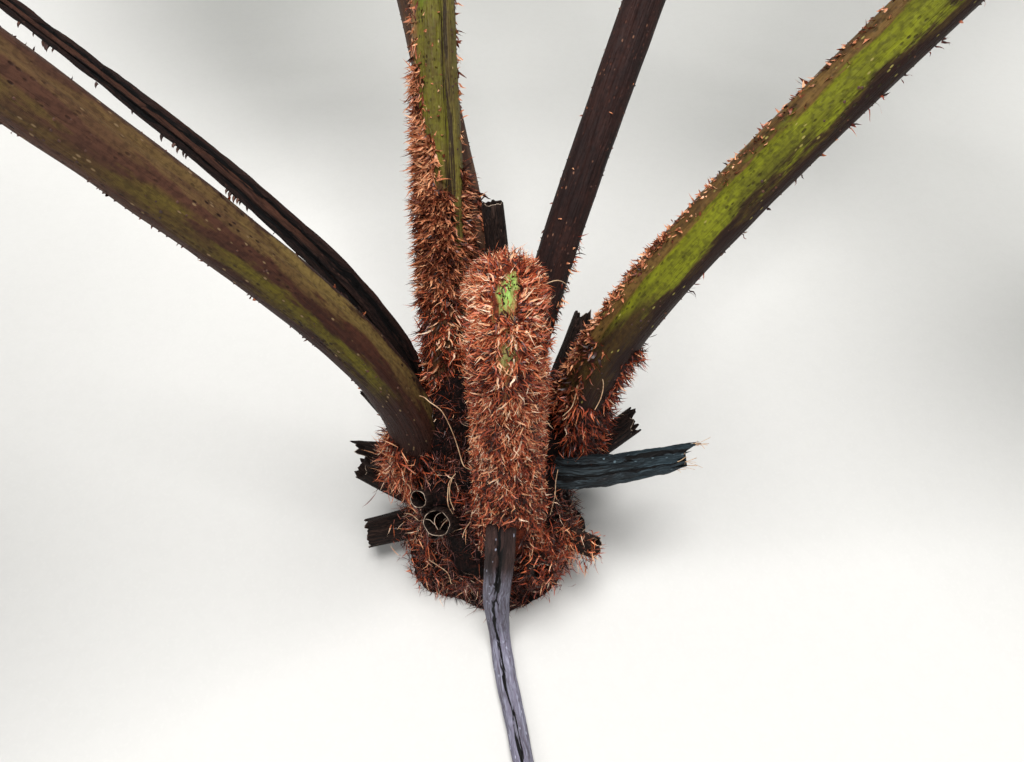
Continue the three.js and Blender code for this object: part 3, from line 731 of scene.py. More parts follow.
# An oval patch on a straightened stem: 1 inside, fading to 0 over the last part of its reach.
patch, taken, given = new_group(
    "patch",
    [("Vector", "Vector"), ("Middle", "Float"), ("Half", "Float"), ("Reach", "Float"), ("Lean", "Float"),
     ("Inner", "Float"), ("Waver", "Float")],
    [("Mask", "Float")],
)
parts = add(patch, "ShaderNodeSeparateXYZ", {0: taken["Vector"]})
ahead = maths(patch, "SUBTRACT", parts.outputs["Z"], taken["Middle"])
turned = maths(patch, "ARCTAN2", parts.outputs["X"], parts.outputs["Y"])
turned = maths(patch, "SUBTRACT", turned, maths(patch, "MULTIPLY", ahead, taken["Lean"]))
oval = add(patch, "ShaderNodeCombineXYZ", {
    "X": maths(patch, "DIVIDE", turned, taken["Reach"]), "Y": maths(patch, "DIVIDE", ahead, taken["Half"]),
})
off_middle = add(patch, "ShaderNodeVectorMath", {0: oval.outputs["Vector"]}, operation="LENGTH")
shaken = maths(patch, "MULTIPLY", maths(patch, "SUBTRACT", taken["Waver"], 0.5), PATCH_WAVER)
off_middle = maths(patch, "ADD", off_middle.outputs["Value"], shaken)
faded = rise(patch, off_middle, taken["Inner"], PATCH_OUTER)
patch.links.new(maths(patch, "SUBTRACT", 1.0, faded), given.inputs["Mask"])


def crozier_flesh():
    """Finish of the stem under the scales: dark brown felt with a green stripe made of patches."""
    finish, tree, shader = new_finish("crozier_flesh", 0.8, 0.15)
    place = straight_place(tree)
    tint = mottled(tree, place, 0.004, (104, 42, 22), (70, 27, 16), (140, 64, 35))
    waver = streaked(tree, place, 0.0016, 0.005)
    for (middle, half, reach, lean), inner, tints in STRIPE:
        mask = add(tree, "ShaderNodeGroup", {
            "Vector": place, "Middle": middle * MM, "Half": half * MM, "Reach": math.radians(reach),
            "Lean": math.radians(lean) / MM, "Inner": inner, "Waver": waver,
        }, node_tree=patch).outputs["Mask"]
        tint = blended(tree, mask, tint, mottled(tree, place, 0.003, *tints))
    tint = blended(tree, fleck_mask(tree, place, 0.0014, 0.16), tint, (96, 80, 44))
    tree.links.new(tint, shader.inputs["Base Color"])
    set_bump(tree, shader, waver, 0.0004)
    return finish


def crozier_relief(straight):
    """Low lumps in the felt, which lies under the coat."""
    return lumps(straight, CROZIER_LUMP) - CROZIER_UNDER_COAT


coiled = crozier_path()
stations = np.linspace(0, coiled.distance[-1], CROZIER_ROWS)
points, faces, straight = tube(coiled, stations, CROZIER_COLUMNS, 0.0, crozier_relief)
crozier = make_piece("crozier_stem", points, faces, [crozier_flesh()], straight=straight)
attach(crozier, "root")
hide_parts("crozier_front")

# Buds at the tip of the trunk
# The next fronds wait as tight round buds of soft tissue in the middle of the crown, wrapped in scales. They
# sit on the tip of the trunk. Each row: middle, radius and height above the middle.
BUDS = [((2, 22, 130), 15, 20), ((-12, 36, 122), 11, 15), ((22, 16, 120), 12, 15)]
BUD_ROWS = 20
BUD_COLUMNS = 28
BUD_POLE = 1.5
BUD_LUMP = 4


def bud_felt():
    """Finish of the buds: dark rusty felt."""
    finish, tree, shader = new_finish("bud_felt", 0.8)
    place = object_place(tree)
    tint = mottled(tree, place, 0.004, (92, 42, 24), (60, 26, 18), (126, 62, 34))
    tree.links.new(tint, shader.inputs["Base Color"])
    set_bump(tree, shader, streaked(tree, place, 0.001, 0.006), 0.0006)
    return finish


def bud_point(bud, turn, rise_angle):
    """Point on a bud and its outward direction; the second angle is measured from level."""
    at, radius, tall = bud
    level = np.cos(rise_angle)
    out = np.stack([level * np.cos(turn), level * np.sin(turn), np.sin(rise_angle)], axis=-1)
    return np.array(at) + out * [radius, radius, tall], out


bud_points = []
bud_faces = []
for number, bud in enumerate(BUDS):
    rise_angle, turn = np.meshgrid(
        np.linspace(-BUD_POLE, BUD_POLE, BUD_ROWS), turns_round(BUD_COLUMNS), indexing="ij")
    shell, out = bud_point(bud, turn, rise_angle)
    shell = shell + out * (lumps(shell, BUD_LUMP) - 1.0)[..., None]
    start = number * BUD_ROWS * BUD_COLUMNS
    bud_points.append(shell.reshape(-1, 3))
    bud_faces += closed_faces(BUD_ROWS, BUD_COLUMNS, start, upright=True)
buds = make_piece("bud_cores", np.vstack(bud_points), bud_faces, [bud_felt()])
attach(buds, "root")
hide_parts("crown_buds")

# Scales
# The coat of the crown is of thin papery scales, dead tissue like fine wood shavings, up to 15 mm long. Each
# grows from the skin by its narrow root, lies along the stem in waves and curls away at its tip.
SCALE_STATIONS = (0.0, 0.28, 0.56, 0.8)
SCALE_WIDTHS = (0.55, 1.0, 0.85, 0.5)
SCALE_POINTS = 9
SCALE_TINTS = {
    "dark": ((50, 20, 14), (36, 15, 11), (68, 28, 20)),
    "deep": ((108, 38, 22), (80, 28, 17), (128, 50, 29)),
    "rust": ((166, 73, 43), (140, 56, 32), (186, 92, 57)),
    "orange": ((202, 110, 72), (180, 90, 54), (216, 132, 92)),
    # gold and cream are partly the scales' own pale tone and partly painted highlight.
    "gold": ((232, 170, 126), (212, 144, 100), (240, 192, 152)),
    "cream": ((242, 206, 174), (226, 184, 148), (248, 222, 198)),
    "umber": ((116, 56, 35), (88, 40, 26), (140, 76, 50)),
    "straw": ((196, 122, 84), (166, 96, 62), (216, 152, 114)),
    "mauve": ((100, 64, 61), (74, 46, 46), (124, 84, 79)),
    "pink": ((168, 112, 99), (142, 90, 80), (188, 134, 120)),
}


papers = {
    name: mottled_finish("scale_" + name, 0.38, 0.003, tints, 0.3) for name, tints in SCALE_TINTS.items()
}
# Places in the table of tints, from the darkest to the palest that a coat uses.
RUSTY_ORDER = np.arange(6)
STRAW_ORDER = np.array([0, 6, 6, 7, 7, 4])
LOCK_SIZE = 5.0
LOCK_SWING = 0.9
PATCH_SIZE = 8.0
PATCH_SWING = 2.4
PARTING = 0.6
ABOVE_GROUND = 0.2
STRIPE_KEPT = 0.9


def unit(rows):
    """Rows made 1 long."""
    return rows / np.linalg.norm(rows, axis=-1, keepdims=True)


def ribbons(rng, roots, flow, out, length, width, lift, spread, curl):
    """Points of many narrow wavy ribbons, nine each, that follow a flow along a surface and lift off it."""
    count = len(roots)
    side = unit(np.cross(out, flow))
    yaw = (rng.normal(0, spread, count) + LOCK_SWING * lumps(roots, LOCK_SIZE))[:, None]
    flat = flow * np.cos(yaw) + side * np.sin(yaw)
    raised = np.radians(rng.uniform(lift[0], lift[1], count))[:, None]
    start = unit(flat * np.cos(raised) + out * np.sin(raised))
    bend = unit(out * np.cos(raised) - flat * np.sin(raised))
    across = unit(np.cross(start, bend))
    outward = rng.uniform(curl[0], curl[1], count)[:, None]
    sideways = rng.normal(0, 0.4, count)[:, None]
    wave = rng.normal(0, 0.09, count)[:, None]
    phase = rng.uniform(0, 2 * math.pi, count)[:, None]
    twist = rng.normal(0, 1.4, count)[:, None]
    slant = rng.uniform(-0.8, 0.8, count)[:, None]
    rows = []
    for u, share in zip((*SCALE_STATIONS, 1.0), (*SCALE_WIDTHS, 0.0)):
        swing = across * (sideways * u * u + wave * (np.sin(7 * u + phase) - np.sin(phase)))
        middle = roots + length[:, None] * (start * u + bend * outward * u * u + swing)
        angle = slant + twist * u
        reach = (across * np.cos(angle) + bend * np.sin(angle)) * (0.5 * share * width[:, None])
        rows += [middle - reach, middle + reach] if share else [middle]
    return np.stack(rows, axis=1)


def ribbon_faces(count):
    """Faces of so many ribbons: three with four corners and a pointed one each."""
    starts = SCALE_POINTS * np.arange(count)[:, None]
    fours = [(starts + [low, low + 1, low + 3, low + 2]).tolist() for low in (0, 2, 4)]
    tips = (starts + [6, 7, 8]).tolist()
    return [face for one in zip(*fours, tips) for face in one]


def ribbon_tones(rng, roots, mix):
    """Tint of each ribbon's four faces by the mix, in patches: darker at the root as painted shade between
    the scales, paler at the tip as painted highlight.
    """
    count = len(roots)
    patchy = np.round(PATCH_SWING * lumps(roots, PATCH_SIZE, 7.0)).astype(int)
    middle = np.clip(rng.choice(len(mix), count, p=np.array(mix) / sum(mix)) + patchy, 0, len(mix) - 1)
    # Painted shade between the scales: the root face is one or two tints darker.
    low = np.maximum(0, middle - rng.integers(1, 3, count))
    # Painted highlight: half the tips are one tint paler.
    tip = np.minimum(len(mix) - 1, middle + (rng.random(count) < 0.5))
    return np.stack([low, middle, middle, tip], axis=-1)


def combed(rng, path, distance, turn, comb):
    """Direction in which scales lie: so many degrees off the line of the stem, parted along its middle."""
    round_it = np.cos(turn)[:, None] * path.direction("side", distance)
    round_it = unit(round_it - np.sin(turn)[:, None] * path.direction("upper", distance))
    parting = np.clip(turn / PARTING + rng.normal(0, 0.3, len(turn)), -1, 1)[:, None]
    fan = np.radians(comb) * np.ones_like(turn)
    along = path.direction("along", distance)
    return unit(along * np.cos(fan)[:, None] + round_it * np.sin(fan)[:, None] * parting)


def coat(rng, path, distance, turn, extra, length, lift, mix, comb, width=(0.5, 1.1), spread=0.25,
         curl=(-0.3, 0.35), hanging=0.06, order=RUSTY_ORDER):
    """Ribbons and tones of scales that grow at the given places of a stem."""
    count = len(distance)
    groove = STALK_GROOVE if path is not coiled else 0.0
    roots, out = path.surface(distance, turn, groove, extra)
    flow = combed(rng, path, distance, turn, comb)
    flow = np.where(rng.random(count)[:, None] < hanging, -flow, flow)
    lengths = rng.uniform(*length, count)
    widths = rng.uniform(*width, count)
    points = ribbons(rng, roots, flow, out, lengths, widths, lift, spread, curl)
    return points, order[ribbon_tones(rng, roots, mix)]


def coat_piece(name, batches, slot, *nodes):
    """One piece of all the ribbons in the batches, each batch being its points and tones."""
    points = np.concatenate([batch[0] for batch in batches])
    points[..., 2] = np.maximum(points[..., 2], ABOVE_GROUND)
    tones = np.concatenate([batch[1] for batch in batches])
    piece = make_piece(name, points, ribbon_faces(len(points)), list(papers.values()), tones)
    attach(piece, "root")
    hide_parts(*nodes)


def in_stripe(distance, turn):
    """True where the crozier's green stripe shows."""
    inside = np.zeros(len(distance), dtype=bool)
    for (middle, half, reach, lean), _, _ in STRIPE[1:]:
        ahead = distance - middle
        inside |= np.hypot(ahead / half, (np.degrees(turn) - lean * ahead) / reach) < STRIPE_KEPT
    return inside


# The palest tints of each mix stand partly for painted highlights and glints on the scales.
RUST_MIX = (0.1, 0.22, 0.32, 0.22, 0.1, 0.04)
BRIGHT_MIX = (0.06, 0.15, 0.3, 0.28, 0.15, 0.06)
GLINT_MIX = (0.24, 0.25, 0.23, 0.14, 0.09, 0.05)
DARK_MIX = (0.28, 0.34, 0.23, 0.1, 0.04, 0.01)
BLACK_MIX = (0.4, 0.31, 0.17, 0.07, 0.04, 0.01)
TAN_MIX = (0.02, 0.07, 0.17, 0.22, 0.32, 0.2)
MATTED_MIX = (0.3, 0.26, 0.2, 0.13, 0.07, 0.04)
# Each row: from and to along the stem, count, length, lift, mix. The scales hang at the foot, part round the
# stripe and stand up over the coil: their direction is by distance along the stem.
CROZIER_COAT = [
    (0, 44, 3500, (5, 9), (3, 32), GLINT_MIX), (36, 84, 3900, (4, 7), (2, 26), GLINT_MIX),
    (78, 122, 3400, (4, 7), (3, 30), BRIGHT_MIX), (114, 154, 3500, (4, 7.5), (5, 40), RUST_MIX),
    (148, 240, 3900, (4.5, 8.5), (10, 55), BRIGHT_MIX),
]
CROZIER_COMB = [(0, 168), (84, 160), (122, 138), (142, 116), (156, 96), (168, 62), (182, 34), (240, 20)]
# Longer scales over the top of the coil. Each row: from and to along the stem, turns in degrees, count,
# length, lift, comb.
CROZIER_CREST = [
    (166, 200, (-100, -26), 900, (7, 11), (14, 46), 52), (184, 212, (-60, 60), 600, (6, 10), (20, 60), 18),
    (160, 200, (26, 100), 600, (5, 9), (12, 44), 52),
]
BARE_FOOT = 34
BARE_FOOT_RAGGED = 5
BARE_FOOT_REACH = math.radians(26)
STRIPE_CROSSED = 0.07
STRIPE_STUBS = 90
STRIPE_SIDES = 1900
STRIPE_SIDES_ALONG = (148, 186)
STRIPE_SIDES_ROUND = (0.2, 1.3)
STRIPE_EDGE_ALONG = (136, 157)
STRIPE_EDGE = 0.27
STRIPE_EDGE_SPREAD = 0.09
CROZIER_SEED = 41


def crozier_coat(rng, distance, turn, length, lift, mix, comb=None, width=(0.5, 1.1)):
    """Scales of the coiled frond; without a direction of their own they lie as the comb says."""
    if comb is None:
        comb = from_table(CROZIER_COMB, distance)
    return coat(rng, coiled, distance, turn, -CROZIER_UNDER_COAT, length, lift, mix, comb, width)


def stripe_coat(rng, start, end, reach, count, length, lift, mix, comb, width=(0.5, 1.1)):
    """Scales of the coiled frond that lie across or along the stripe, within that reach of its middle."""
    distance = rng.uniform(start, end, count)
    turn = rng.uniform(-reach, reach, count)
    return crozier_coat(rng, distance, turn, length, lift, mix, comb, width)


rng = np.random.default_rng(CROZIER_SEED)
batches = []
for start, end, count, length, lift, mix in CROZIER_COAT:
    distance = rng.uniform(start, end, count)
    turn = rng.uniform(-math.pi, math.pi, count)
    kept = ~in_stripe(distance, turn) | (rng.random(count) < STRIPE_CROSSED)
    bare_to = BARE_FOOT + BARE_FOOT_RAGGED * lumps(np.stack([turn, turn, turn], -1), 0.2)
    kept &= (distance > bare_to) | (np.abs(turn) > BARE_FOOT_REACH)
    batches.append(crozier_coat(rng, distance[kept], turn[kept], length, lift, mix))
# More scales crowd both sides of the stripe.
distance = rng.uniform(*STRIPE_SIDES_ALONG, STRIPE_SIDES)
turn = rng.choice([-1, 1], STRIPE_SIDES) * rng.uniform(*STRIPE_SIDES_ROUND, STRIPE_SIDES)
kept = ~in_stripe(distance, turn)
batches.append(crozier_coat(rng, distance[kept], turn[kept], (3, 6), (3, 24), BRIGHT_MIX))
# Short stubs stand on the stripe, and longer scales hang over its lower edges and across it.
batches.append(stripe_coat(rng, 146, 169, 0.28, STRIPE_STUBS, (0.8, 2), (20, 70), DARK_MIX, 60))
distance = rng.uniform(*STRIPE_EDGE_ALONG, STRIPE_STUBS)
turn = rng.choice([-STRIPE_EDGE, STRIPE_EDGE], STRIPE_STUBS) + rng.normal(0, STRIPE_EDGE_SPREAD, STRIPE_STUBS)
batches.append(crozier_coat(rng, distance, turn, (4, 7), (4, 26), TAN_MIX, 160))
batches.append(stripe_coat(rng, 152, 159, 0.26, STRIPE_STUBS, (4, 7), (2, 14), RUST_MIX, 170))
batches.append(stripe_coat(rng, 158, 178, 0.2, STRIPE_STUBS // 2, (3, 6), (1, 12), TAN_MIX, 12, (0.3, 0.6)))
for start, end, turned, count, length, lift, comb in CROZIER_CREST:
    distance = rng.uniform(start, end, count)
    turn = np.radians(rng.uniform(*turned, count))
    batches.append(crozier_coat(rng, distance, turn, length, lift, BRIGHT_MIX, comb))
coat_piece("scales_crozier", batches, "scales", "crozier_front")

BUD_SEED = 42
BUD_SCALES = 600
BUD_SCALES_FROM = -0.4
BUD_SCALES_TO = 1.45
BUD_SCALE_LENGTH = (5, 9)
BUD_SCALE_WIDTH = (0.6, 1.2)
rng = np.random.default_rng(BUD_SEED)
batches = []
for bud in BUDS:
    turn = rng.uniform(-math.pi, math.pi, BUD_SCALES)
    rise_angle = rng.uniform(BUD_SCALES_FROM, BUD_SCALES_TO, BUD_SCALES)
    roots, out = bud_point(bud, turn, rise_angle)
    along = unit(np.array([0, 0, 1.0]) - out * out[:, 2:3])
    lengths = rng.uniform(*BUD_SCALE_LENGTH, BUD_SCALES)
    widths = rng.uniform(*BUD_SCALE_WIDTH, BUD_SCALES)
    points = ribbons(rng, roots - out, along, out, lengths, widths, (15, 60), 0.5, (-0.3, 0.3))
    batches.append((points, ribbon_tones(rng, roots, RUST_MIX)))
coat_piece("scales_buds", batches, "scales", "crown_buds")

# Each row: from and to along the stalk, from and to round it in degrees, count, length, lift, comb, mix, and
# how it differs from a plain coat.
CURLY = dict(curl=(-0.6, 0.9), spread=0.45, width=(0.6, 1.3))
PAPERY = dict(curl=(-0.7, 0.9), spread=0.45, width=(0.8, 1.7), order=STRAW_ORDER)
FLAKES = dict(curl=(-0.3, 0.9), spread=0.9, width=(0.8, 1.9), order=STRAW_ORDER)
STALK_COATS = {
    "left": [
        (-25, 16, -180, 180, 1000, (5, 9), (4, 40), 150, BLACK_MIX, CURLY),
        (-14, 24, -178, -118, 420, (6, 10), (4, 32), 160, RUST_MIX, CURLY),
        (40, 400, -150, -125, 40, (0.8, 2.2), (20, 60), 60, DARK_MIX, FLAKES),
        (60, 400, 20, 60, 40, (1, 2.6), (10, 40), 60, DARK_MIX, FLAKES),
    ],
    "back_left": [
        (-25, 60, -180, 180, 3000, (6, 11), (4, 34), 155, GLINT_MIX, CURLY),
        (50, 112, -110, 24, 2300, (5, 10), (3, 32), 155, RUST_MIX, PAPERY),
        (50, 84, 36, 110, 500, (5, 9), (4, 34), 150, RUST_MIX, PAPERY),
        (60, 140, 110, 250, 700, (5, 9), (6, 40), 140, RUST_MIX, CURLY),
        (104, 144, -110, -8, 800, (5, 10), (3, 32), 155, TAN_MIX, PAPERY),
        (136, 186, -108, -34, 460, (5, 9), (3, 34), 150, TAN_MIX, PAPERY),
        (176, 460, -100, -48, 420, (3, 7), (2, 26), 140, TAN_MIX, FLAKES),
        (80, 126, 58, 104, 360, (5, 10), (8, 48), 130, RUST_MIX, PAPERY),
        (120, 300, 74, 100, 70, (3, 6), (8, 40), 130, TAN_MIX, FLAKES),
        (120, 400, -50, 20, 110, (1.6, 4), (3, 24), 100, TAN_MIX, FLAKES),
    ],
    "back": [
        (-20, 56, -180, 180, 900, (6, 10), (6, 40), 140, RUST_MIX, CURLY),
        (50, 110, 30, 60, 160, (4, 7), (6, 40), 130, RUST_MIX, PAPERY),
    ],
    "back_right": [
        (-20, 24, -180, 180, 900, (6, 11), (6, 46), 150, BLACK_MIX, CURLY),
        (30, 96, 66, 112, 110, (3, 6), (8, 40), 130, RUST_MIX, CURLY),
        (40, 400, -92, -74, 26, (1.5, 3), (6, 30), 110, TAN_MIX, FLAKES),
        (60, 400, -60, 80, 26, (1, 2.4), (3, 20), 110, TAN_MIX, FLAKES),
    ],
    "right": [
        (-25, 34, -180, 180, 2300, (5, 10), (4, 40), 155, BLACK_MIX, CURLY),
        (20, 70, -78, 40, 520, (3, 6), (3, 28), 150, DARK_MIX, PAPERY),
        (30, 76, 95, 200, 800, (5, 9), (6, 44), 140, BLACK_MIX, CURLY),
        (30, 130, -74, -10, 620, (2.4, 5), (1, 14), 155, TAN_MIX, FLAKES),
        (110, 420, -58, -6, 620, (1.6, 3.4), (0, 9), 160, TAN_MIX, FLAKES),
        (20, 240, -84, -62, 110, (3, 6), (10, 46), 120, RUST_MIX, PAPERY),
        (70, 300, 100, 130, 40, (2.5, 5), (20, 55), 60, DARK_MIX, CURLY),
    ],
}
STALK_COAT_SEED = 50
STALK_COAT_SUNK = -0.3
for number, (name, rows) in enumerate(STALK_COATS.items()):
    rng = np.random.default_rng(STALK_COAT_SEED + number)
    batches = []
    for start, end, turn_from, turn_to, count, length, lift, comb, mix, differs in rows:
        distance = rng.uniform(start, end, count)
        turn = np.radians(rng.uniform(turn_from, turn_to, count))
        stalk_path = live_paths[name]
        batches.append(
            coat(rng, stalk_path, distance, turn, STALK_COAT_SUNK, length, lift, mix, comb, **differs))
    coat_piece("scales_" + name, batches, "scales", "stalk_" + name)

# Dead frond on the left
# An old stalk that has dried where it stands: the soft inside has gone and the hard black rind has folded
# flat, with a deep groove between sharp ridges and thorns along its edge. It is still joined to the trunk.
DEAD_FROND = dict(
    root=(-50, 33, 96), heading=151, root_lift=112, lift=26, sway=12, arch=125,
    width=(20.5, 8), length=1180, leaflet=170, share=0.45,
)
DEAD_FLATNESS = 0.62
DEAD_BLADE_START = 420
DEAD_COLUMNS = 64
CREASE_SHADE_BLUR = 5
LEFT_FOLDS = (2, -52)
THORNS = 34
THORN_LENGTH = (1.4, 3.4)
THORN_THICKNESS = 0.42
THORN_FLATNESS = 0.45
THORNS_FROM = 70
THORN_CLUSTERS = 9
THORN_SCATTER = 9
THORN_TURNS = (-124, -112)
THORN_SWING = 11
THORN_SEED = 70
# Streaks in a dried rind: their width and length in metres. Specks: their size in metres and their share.
HUSK_FINE = (0.0009, 0.018)
HUSK_BROAD = (0.0032, 0.035)
HUSK_SPECKS = (0.0014, 0.06)
# Painted shade in the creases of a dried stalk.
FOLD_SHADE_TINT = (9, 7, 7)


def creases(straight, middles, reach):
    """How deep in a crease each place of a straightened stalk is, 1 at the given turns round it."""
    turn = np.arctan2(straight[..., 0], straight[..., 1])
    depth = np.zeros_like(turn)
    for middle in middles:
        off = half_turn(turn - math.radians(middle))
        depth = np.maximum(depth, np.exp(-((off / math.radians(reach)) ** 2)))
    return depth


# Coordinates shifted sideways by a smooth random amount, so that marks along a stalk wander.
wander, taken, given = new_group(
    "wander", [("Vector", "Vector"), ("Size", "Float"), ("Amount", "Float")], [("Vector", "Vector")],
)
drift = add(wander, "ShaderNodeTexNoise", {
    "Vector": taken["Vector"], "Scale": maths(wander, "DIVIDE", 1.0, taken["Size"]), "Detail": 2.0,
})
centred = add(wander, "ShaderNodeVectorMath", {
    0: drift.outputs["Color"], 1: (0.5, 0.5, 0.5),
}, operation="SUBTRACT")
scaled = add(wander, "ShaderNodeVectorMath", {0: centred.outputs["Vector"]}, operation="SCALE")
wander.links.new(taken["Amount"], scaled.inputs["Scale"])
moved = add(wander, "ShaderNodeVectorMath", {
    0: taken["Vector"], 1: scaled.outputs["Vector"],
}, operation="ADD")
wander.links.new(moved.outputs["Vector"], given.inputs["Vector"])


def wandering(straight, size, amount):
    """Straightened places shifted sideways by a smooth random amount, so that ridges along them wander."""
    places = straight * [0.4, 0.4, 1]
    shift = [lumps(places, size), lumps(places, size, 8.0)]
    return straight + amount * np.stack([*shift, np.zeros_like(shift[0])], axis=-1)


def dry_husk(name, rind, light, grain, rough, shine, bands, shaded_folds, fold_shade_reach, dry_from=-100):
    """Finish of a dried stalk: grooved rind with pale dry grain from some way along it, on some stalks
    painted sheen as well, and painted shade, near black, in its folds.
    """
    finish, tree, shader = new_finish(name, rough, shine)
    place = straight_place(tree)
    along = add(tree, "ShaderNodeSeparateXYZ", {0: place}).outputs["Z"]
    drifting = add(tree, "ShaderNodeGroup", {
        "Vector": place, "Size": 0.018, "Amount": 0.006,
    }, node_tree=wander).outputs["Vector"]
    fine_lines = streaked(tree, drifting, *HUSK_FINE)
    broad_lines = streaked(tree, drifting, *HUSK_BROAD)
    tint = blended(tree, broad_lines, *rind)
    for middle, reach, blur, begins, first, second in bands:
        begun = rise(tree, along, (begins - BAND_FADE) * MM, (begins + BAND_FADE) * MM)
        band = maths(tree, "MULTIPLY", begun, facing_mask(tree, place, middle, reach, blur, broad_lines))
        tint = blended(tree, band, tint, blended(tree, broad_lines, first, second))
    dried = rise(tree, along, dry_from * MM, (dry_from + BAND_FADE) * MM)
    # Pale lines of dry grain, which on the grey and slate stalks are painted sheen too.
    pale_grain_and_sheen = maths(tree, "MULTIPLY", fine_lines, maths(tree, "MULTIPLY", dried, grain))
    tint = blended(tree, pale_grain_and_sheen, tint, light)
    # Pale specks, partly painted glints.
    tint = blended(tree, fleck_mask(tree, place, *HUSK_SPECKS), tint, light)
    # Painted shade, near black, in the folds.
    for middle in shaded_folds:
        fold = facing_mask(tree, place, middle, fold_shade_reach, CREASE_SHADE_BLUR, broad_lines)
        tint = blended(tree, fold, tint, FOLD_SHADE_TINT)
    tree.links.new(tint, shader.inputs["Base Color"])
    set_bump(tree, shader, maths(tree, "ADD", fine_lines, broad_lines), 0.0008)
    return finish


def left_relief(straight):
    """Sharp ridges along the folded rind, deep creases between them, and dents where it has shrunk."""
    ridges = 1.0 - np.abs(lumps(wandering(straight, 20, 2.4) * [1, 0.5, 0.05], 2.8)) * 3.0
    dents = 0.7 * lumps(straight * [1, 1, 0.3], 9.0, 2.0) + 0.35 * lumps(straight * [1, 1, 0.4], 2.2, 6.0)
    return 0.6 * ridges - 2.2 * creases(straight, LEFT_FOLDS, 9) - 0.5 + dents


def husk_piece(name, path, stations, relief, finish, torn=None):
    """Piece of a dried stalk through the given distances along its path."""
    points, faces, straight = tube(path, stations, DEAD_COLUMNS, 0.0, relief, torn)
    return make_piece(name, points, faces, [finish], straight=straight)


dead_path = frond_path(DEAD_FROND, DEAD_FLATNESS)
black_husk = dry_husk(
    "black_husk", ((13, 9, 9), (30, 19, 17)), (78, 54, 46), 0.3, 0.75, 0.12,
    # Painted highlight: the reddish band along a ridge.
    [(-22, 10, 12, 120, (82, 52, 39), (46, 28, 23)),
     (52, 16, 14, 20, (58, 34, 29), (32, 20, 18))],
    LEFT_FOLDS, 6,
)
stations = np.arange(-STALK_SUNK + FRAME_STEP, DEAD_BLADE_START + 1, STALK_STEP)
husk = husk_piece("husk_left", dead_path, stations, left_relief, black_husk)
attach(husk, "root")
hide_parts("dead_stalk_left")


def hooks(roots, out, back, length, radius, sides):
    """Points and faces of curved thorns: three rings and a tip that bend back along the stalk."""
    across = unit(np.cross(out, back))
    turn = turns_round(sides)
    rings = []
    for u, share in ((-0.15, 1.0), (0.3, 0.75), (0.65, 0.42), (1.0, 0.0)):
        middle = roots + length[:, None] * (out * u + back * 0.55 * u * abs(u))
        fore = unit(np.cross(across, out + back * u))
        wide = np.cos(turn)[None, :, None] * across[:, None] * THORN_FLATNESS
        around = wide + np.sin(turn)[None, :, None] * fore[:, None]
        rings.append(middle[:, None] + around * (radius * share)[:, None, None] if share else middle[:, None])
    points = np.concatenate(rings, axis=1)
    corner = np.arange(sides)
    following = (corner + 1) % sides
    walls = np.stack([corner, following, following + sides, corner + sides], -1)
    faces = [*walls.tolist(), *(walls + sides).tolist()]
    faces += np.stack([corner + 2 * sides, following + 2 * sides, np.full(sides, 3 * sides)], -1).tolist()
    starts = points.shape[1] * np.arange(len(roots))
    every = [[place + start for place in face] for start in starts.tolist() for face in faces]
    return points.reshape(-1, 3), every


rng = np.random.default_rng(THORN_SEED)
cluster = rng.choice(np.linspace(0, 1, THORN_CLUSTERS), THORNS)
distance = THORNS_FROM + (DEAD_BLADE_START - THORNS_FROM) * cluster + rng.normal(0, THORN_SCATTER, THORNS)
turn = np.radians(rng.choice(THORN_TURNS, THORNS) + rng.normal(0, THORN_SWING, THORNS))
roots, out = dead_path.surface(distance, turn)
length = rng.uniform(*THORN_LENGTH, THORNS)
back = dead_path.direction("along", distance)
points, faces = hooks(roots, unit(out), -back, length, THORN_THICKNESS * length, WART_SIDES)
thorns = make_piece("thorns_left", points, faces, [wart_finish])
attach(thorns, "root")
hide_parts("dead_stalk_left")

# Older dead frond at the front
# A dried grey-brown strap of rind, split along its groove. It hangs from the foot of the coiled frond down
# the front of the trunk and lies out along the ground.
HANGING_POINTS = [
    (8, -30, 82), (7, -48, 82), (6, -60, 66), (4, -69, 38), (6, -80, 10), (9, -99, 6.5), (18, -140, 6.5),
    (34, -240, 7), (40, -420, 8), (30, -560, 9), (12, -720, 9), (2, -880, 7),
]
HANGING_WIDTH = [(0, 17), (55, 16), (100, 12.5), (450, 8), (905, 3)]
HANGING_FLATNESS = 0.42
HANGING_ACROSS = (1, 0, 0)
HANGING_BLADE_START = 450
HANGING_FOLDS = (186,)
HANGING_FINE_TO = 140
HANGING_FINE_STEP = 2.0
SAMPLES_BETWEEN = 60


def smooth_line(points):
    """Many points on a centripetal Catmull-Rom curve through the given ones."""
    given_points = np.array(points, dtype=float)
    before = 2 * given_points[0] - given_points[1]
    after = 2 * given_points[-1] - given_points[-2]
    knots = np.vstack([before, given_points, after])
    line = []
    for p0, p1, p2, p3 in zip(knots, knots[1:], knots[2:], knots[3:]):
        d0, d1, d2 = (math.sqrt(np.linalg.norm(b - a)) for a, b in ((p0, p1), (p1, p2), (p2, p3)))
        leave = ((p1 - p0) / d0 - (p2 - p0) / (d0 + d1) + (p2 - p1) / d1) * d1
        arrive = ((p2 - p1) / d1 - (p3 - p1) / (d1 + d2) + (p3 - p2) / d2) * d1
        u = np.linspace(0, 1, SAMPLES_BETWEEN, endpoint=False)[:, None]
        line.append(
            p1 + leave * u + (3 * (p2 - p1) - 2 * leave - arrive) * u ** 2
            + (2 * (p1 - p2) + leave + arrive) * u ** 3)
    return np.vstack([*line, given_points[-1:]])


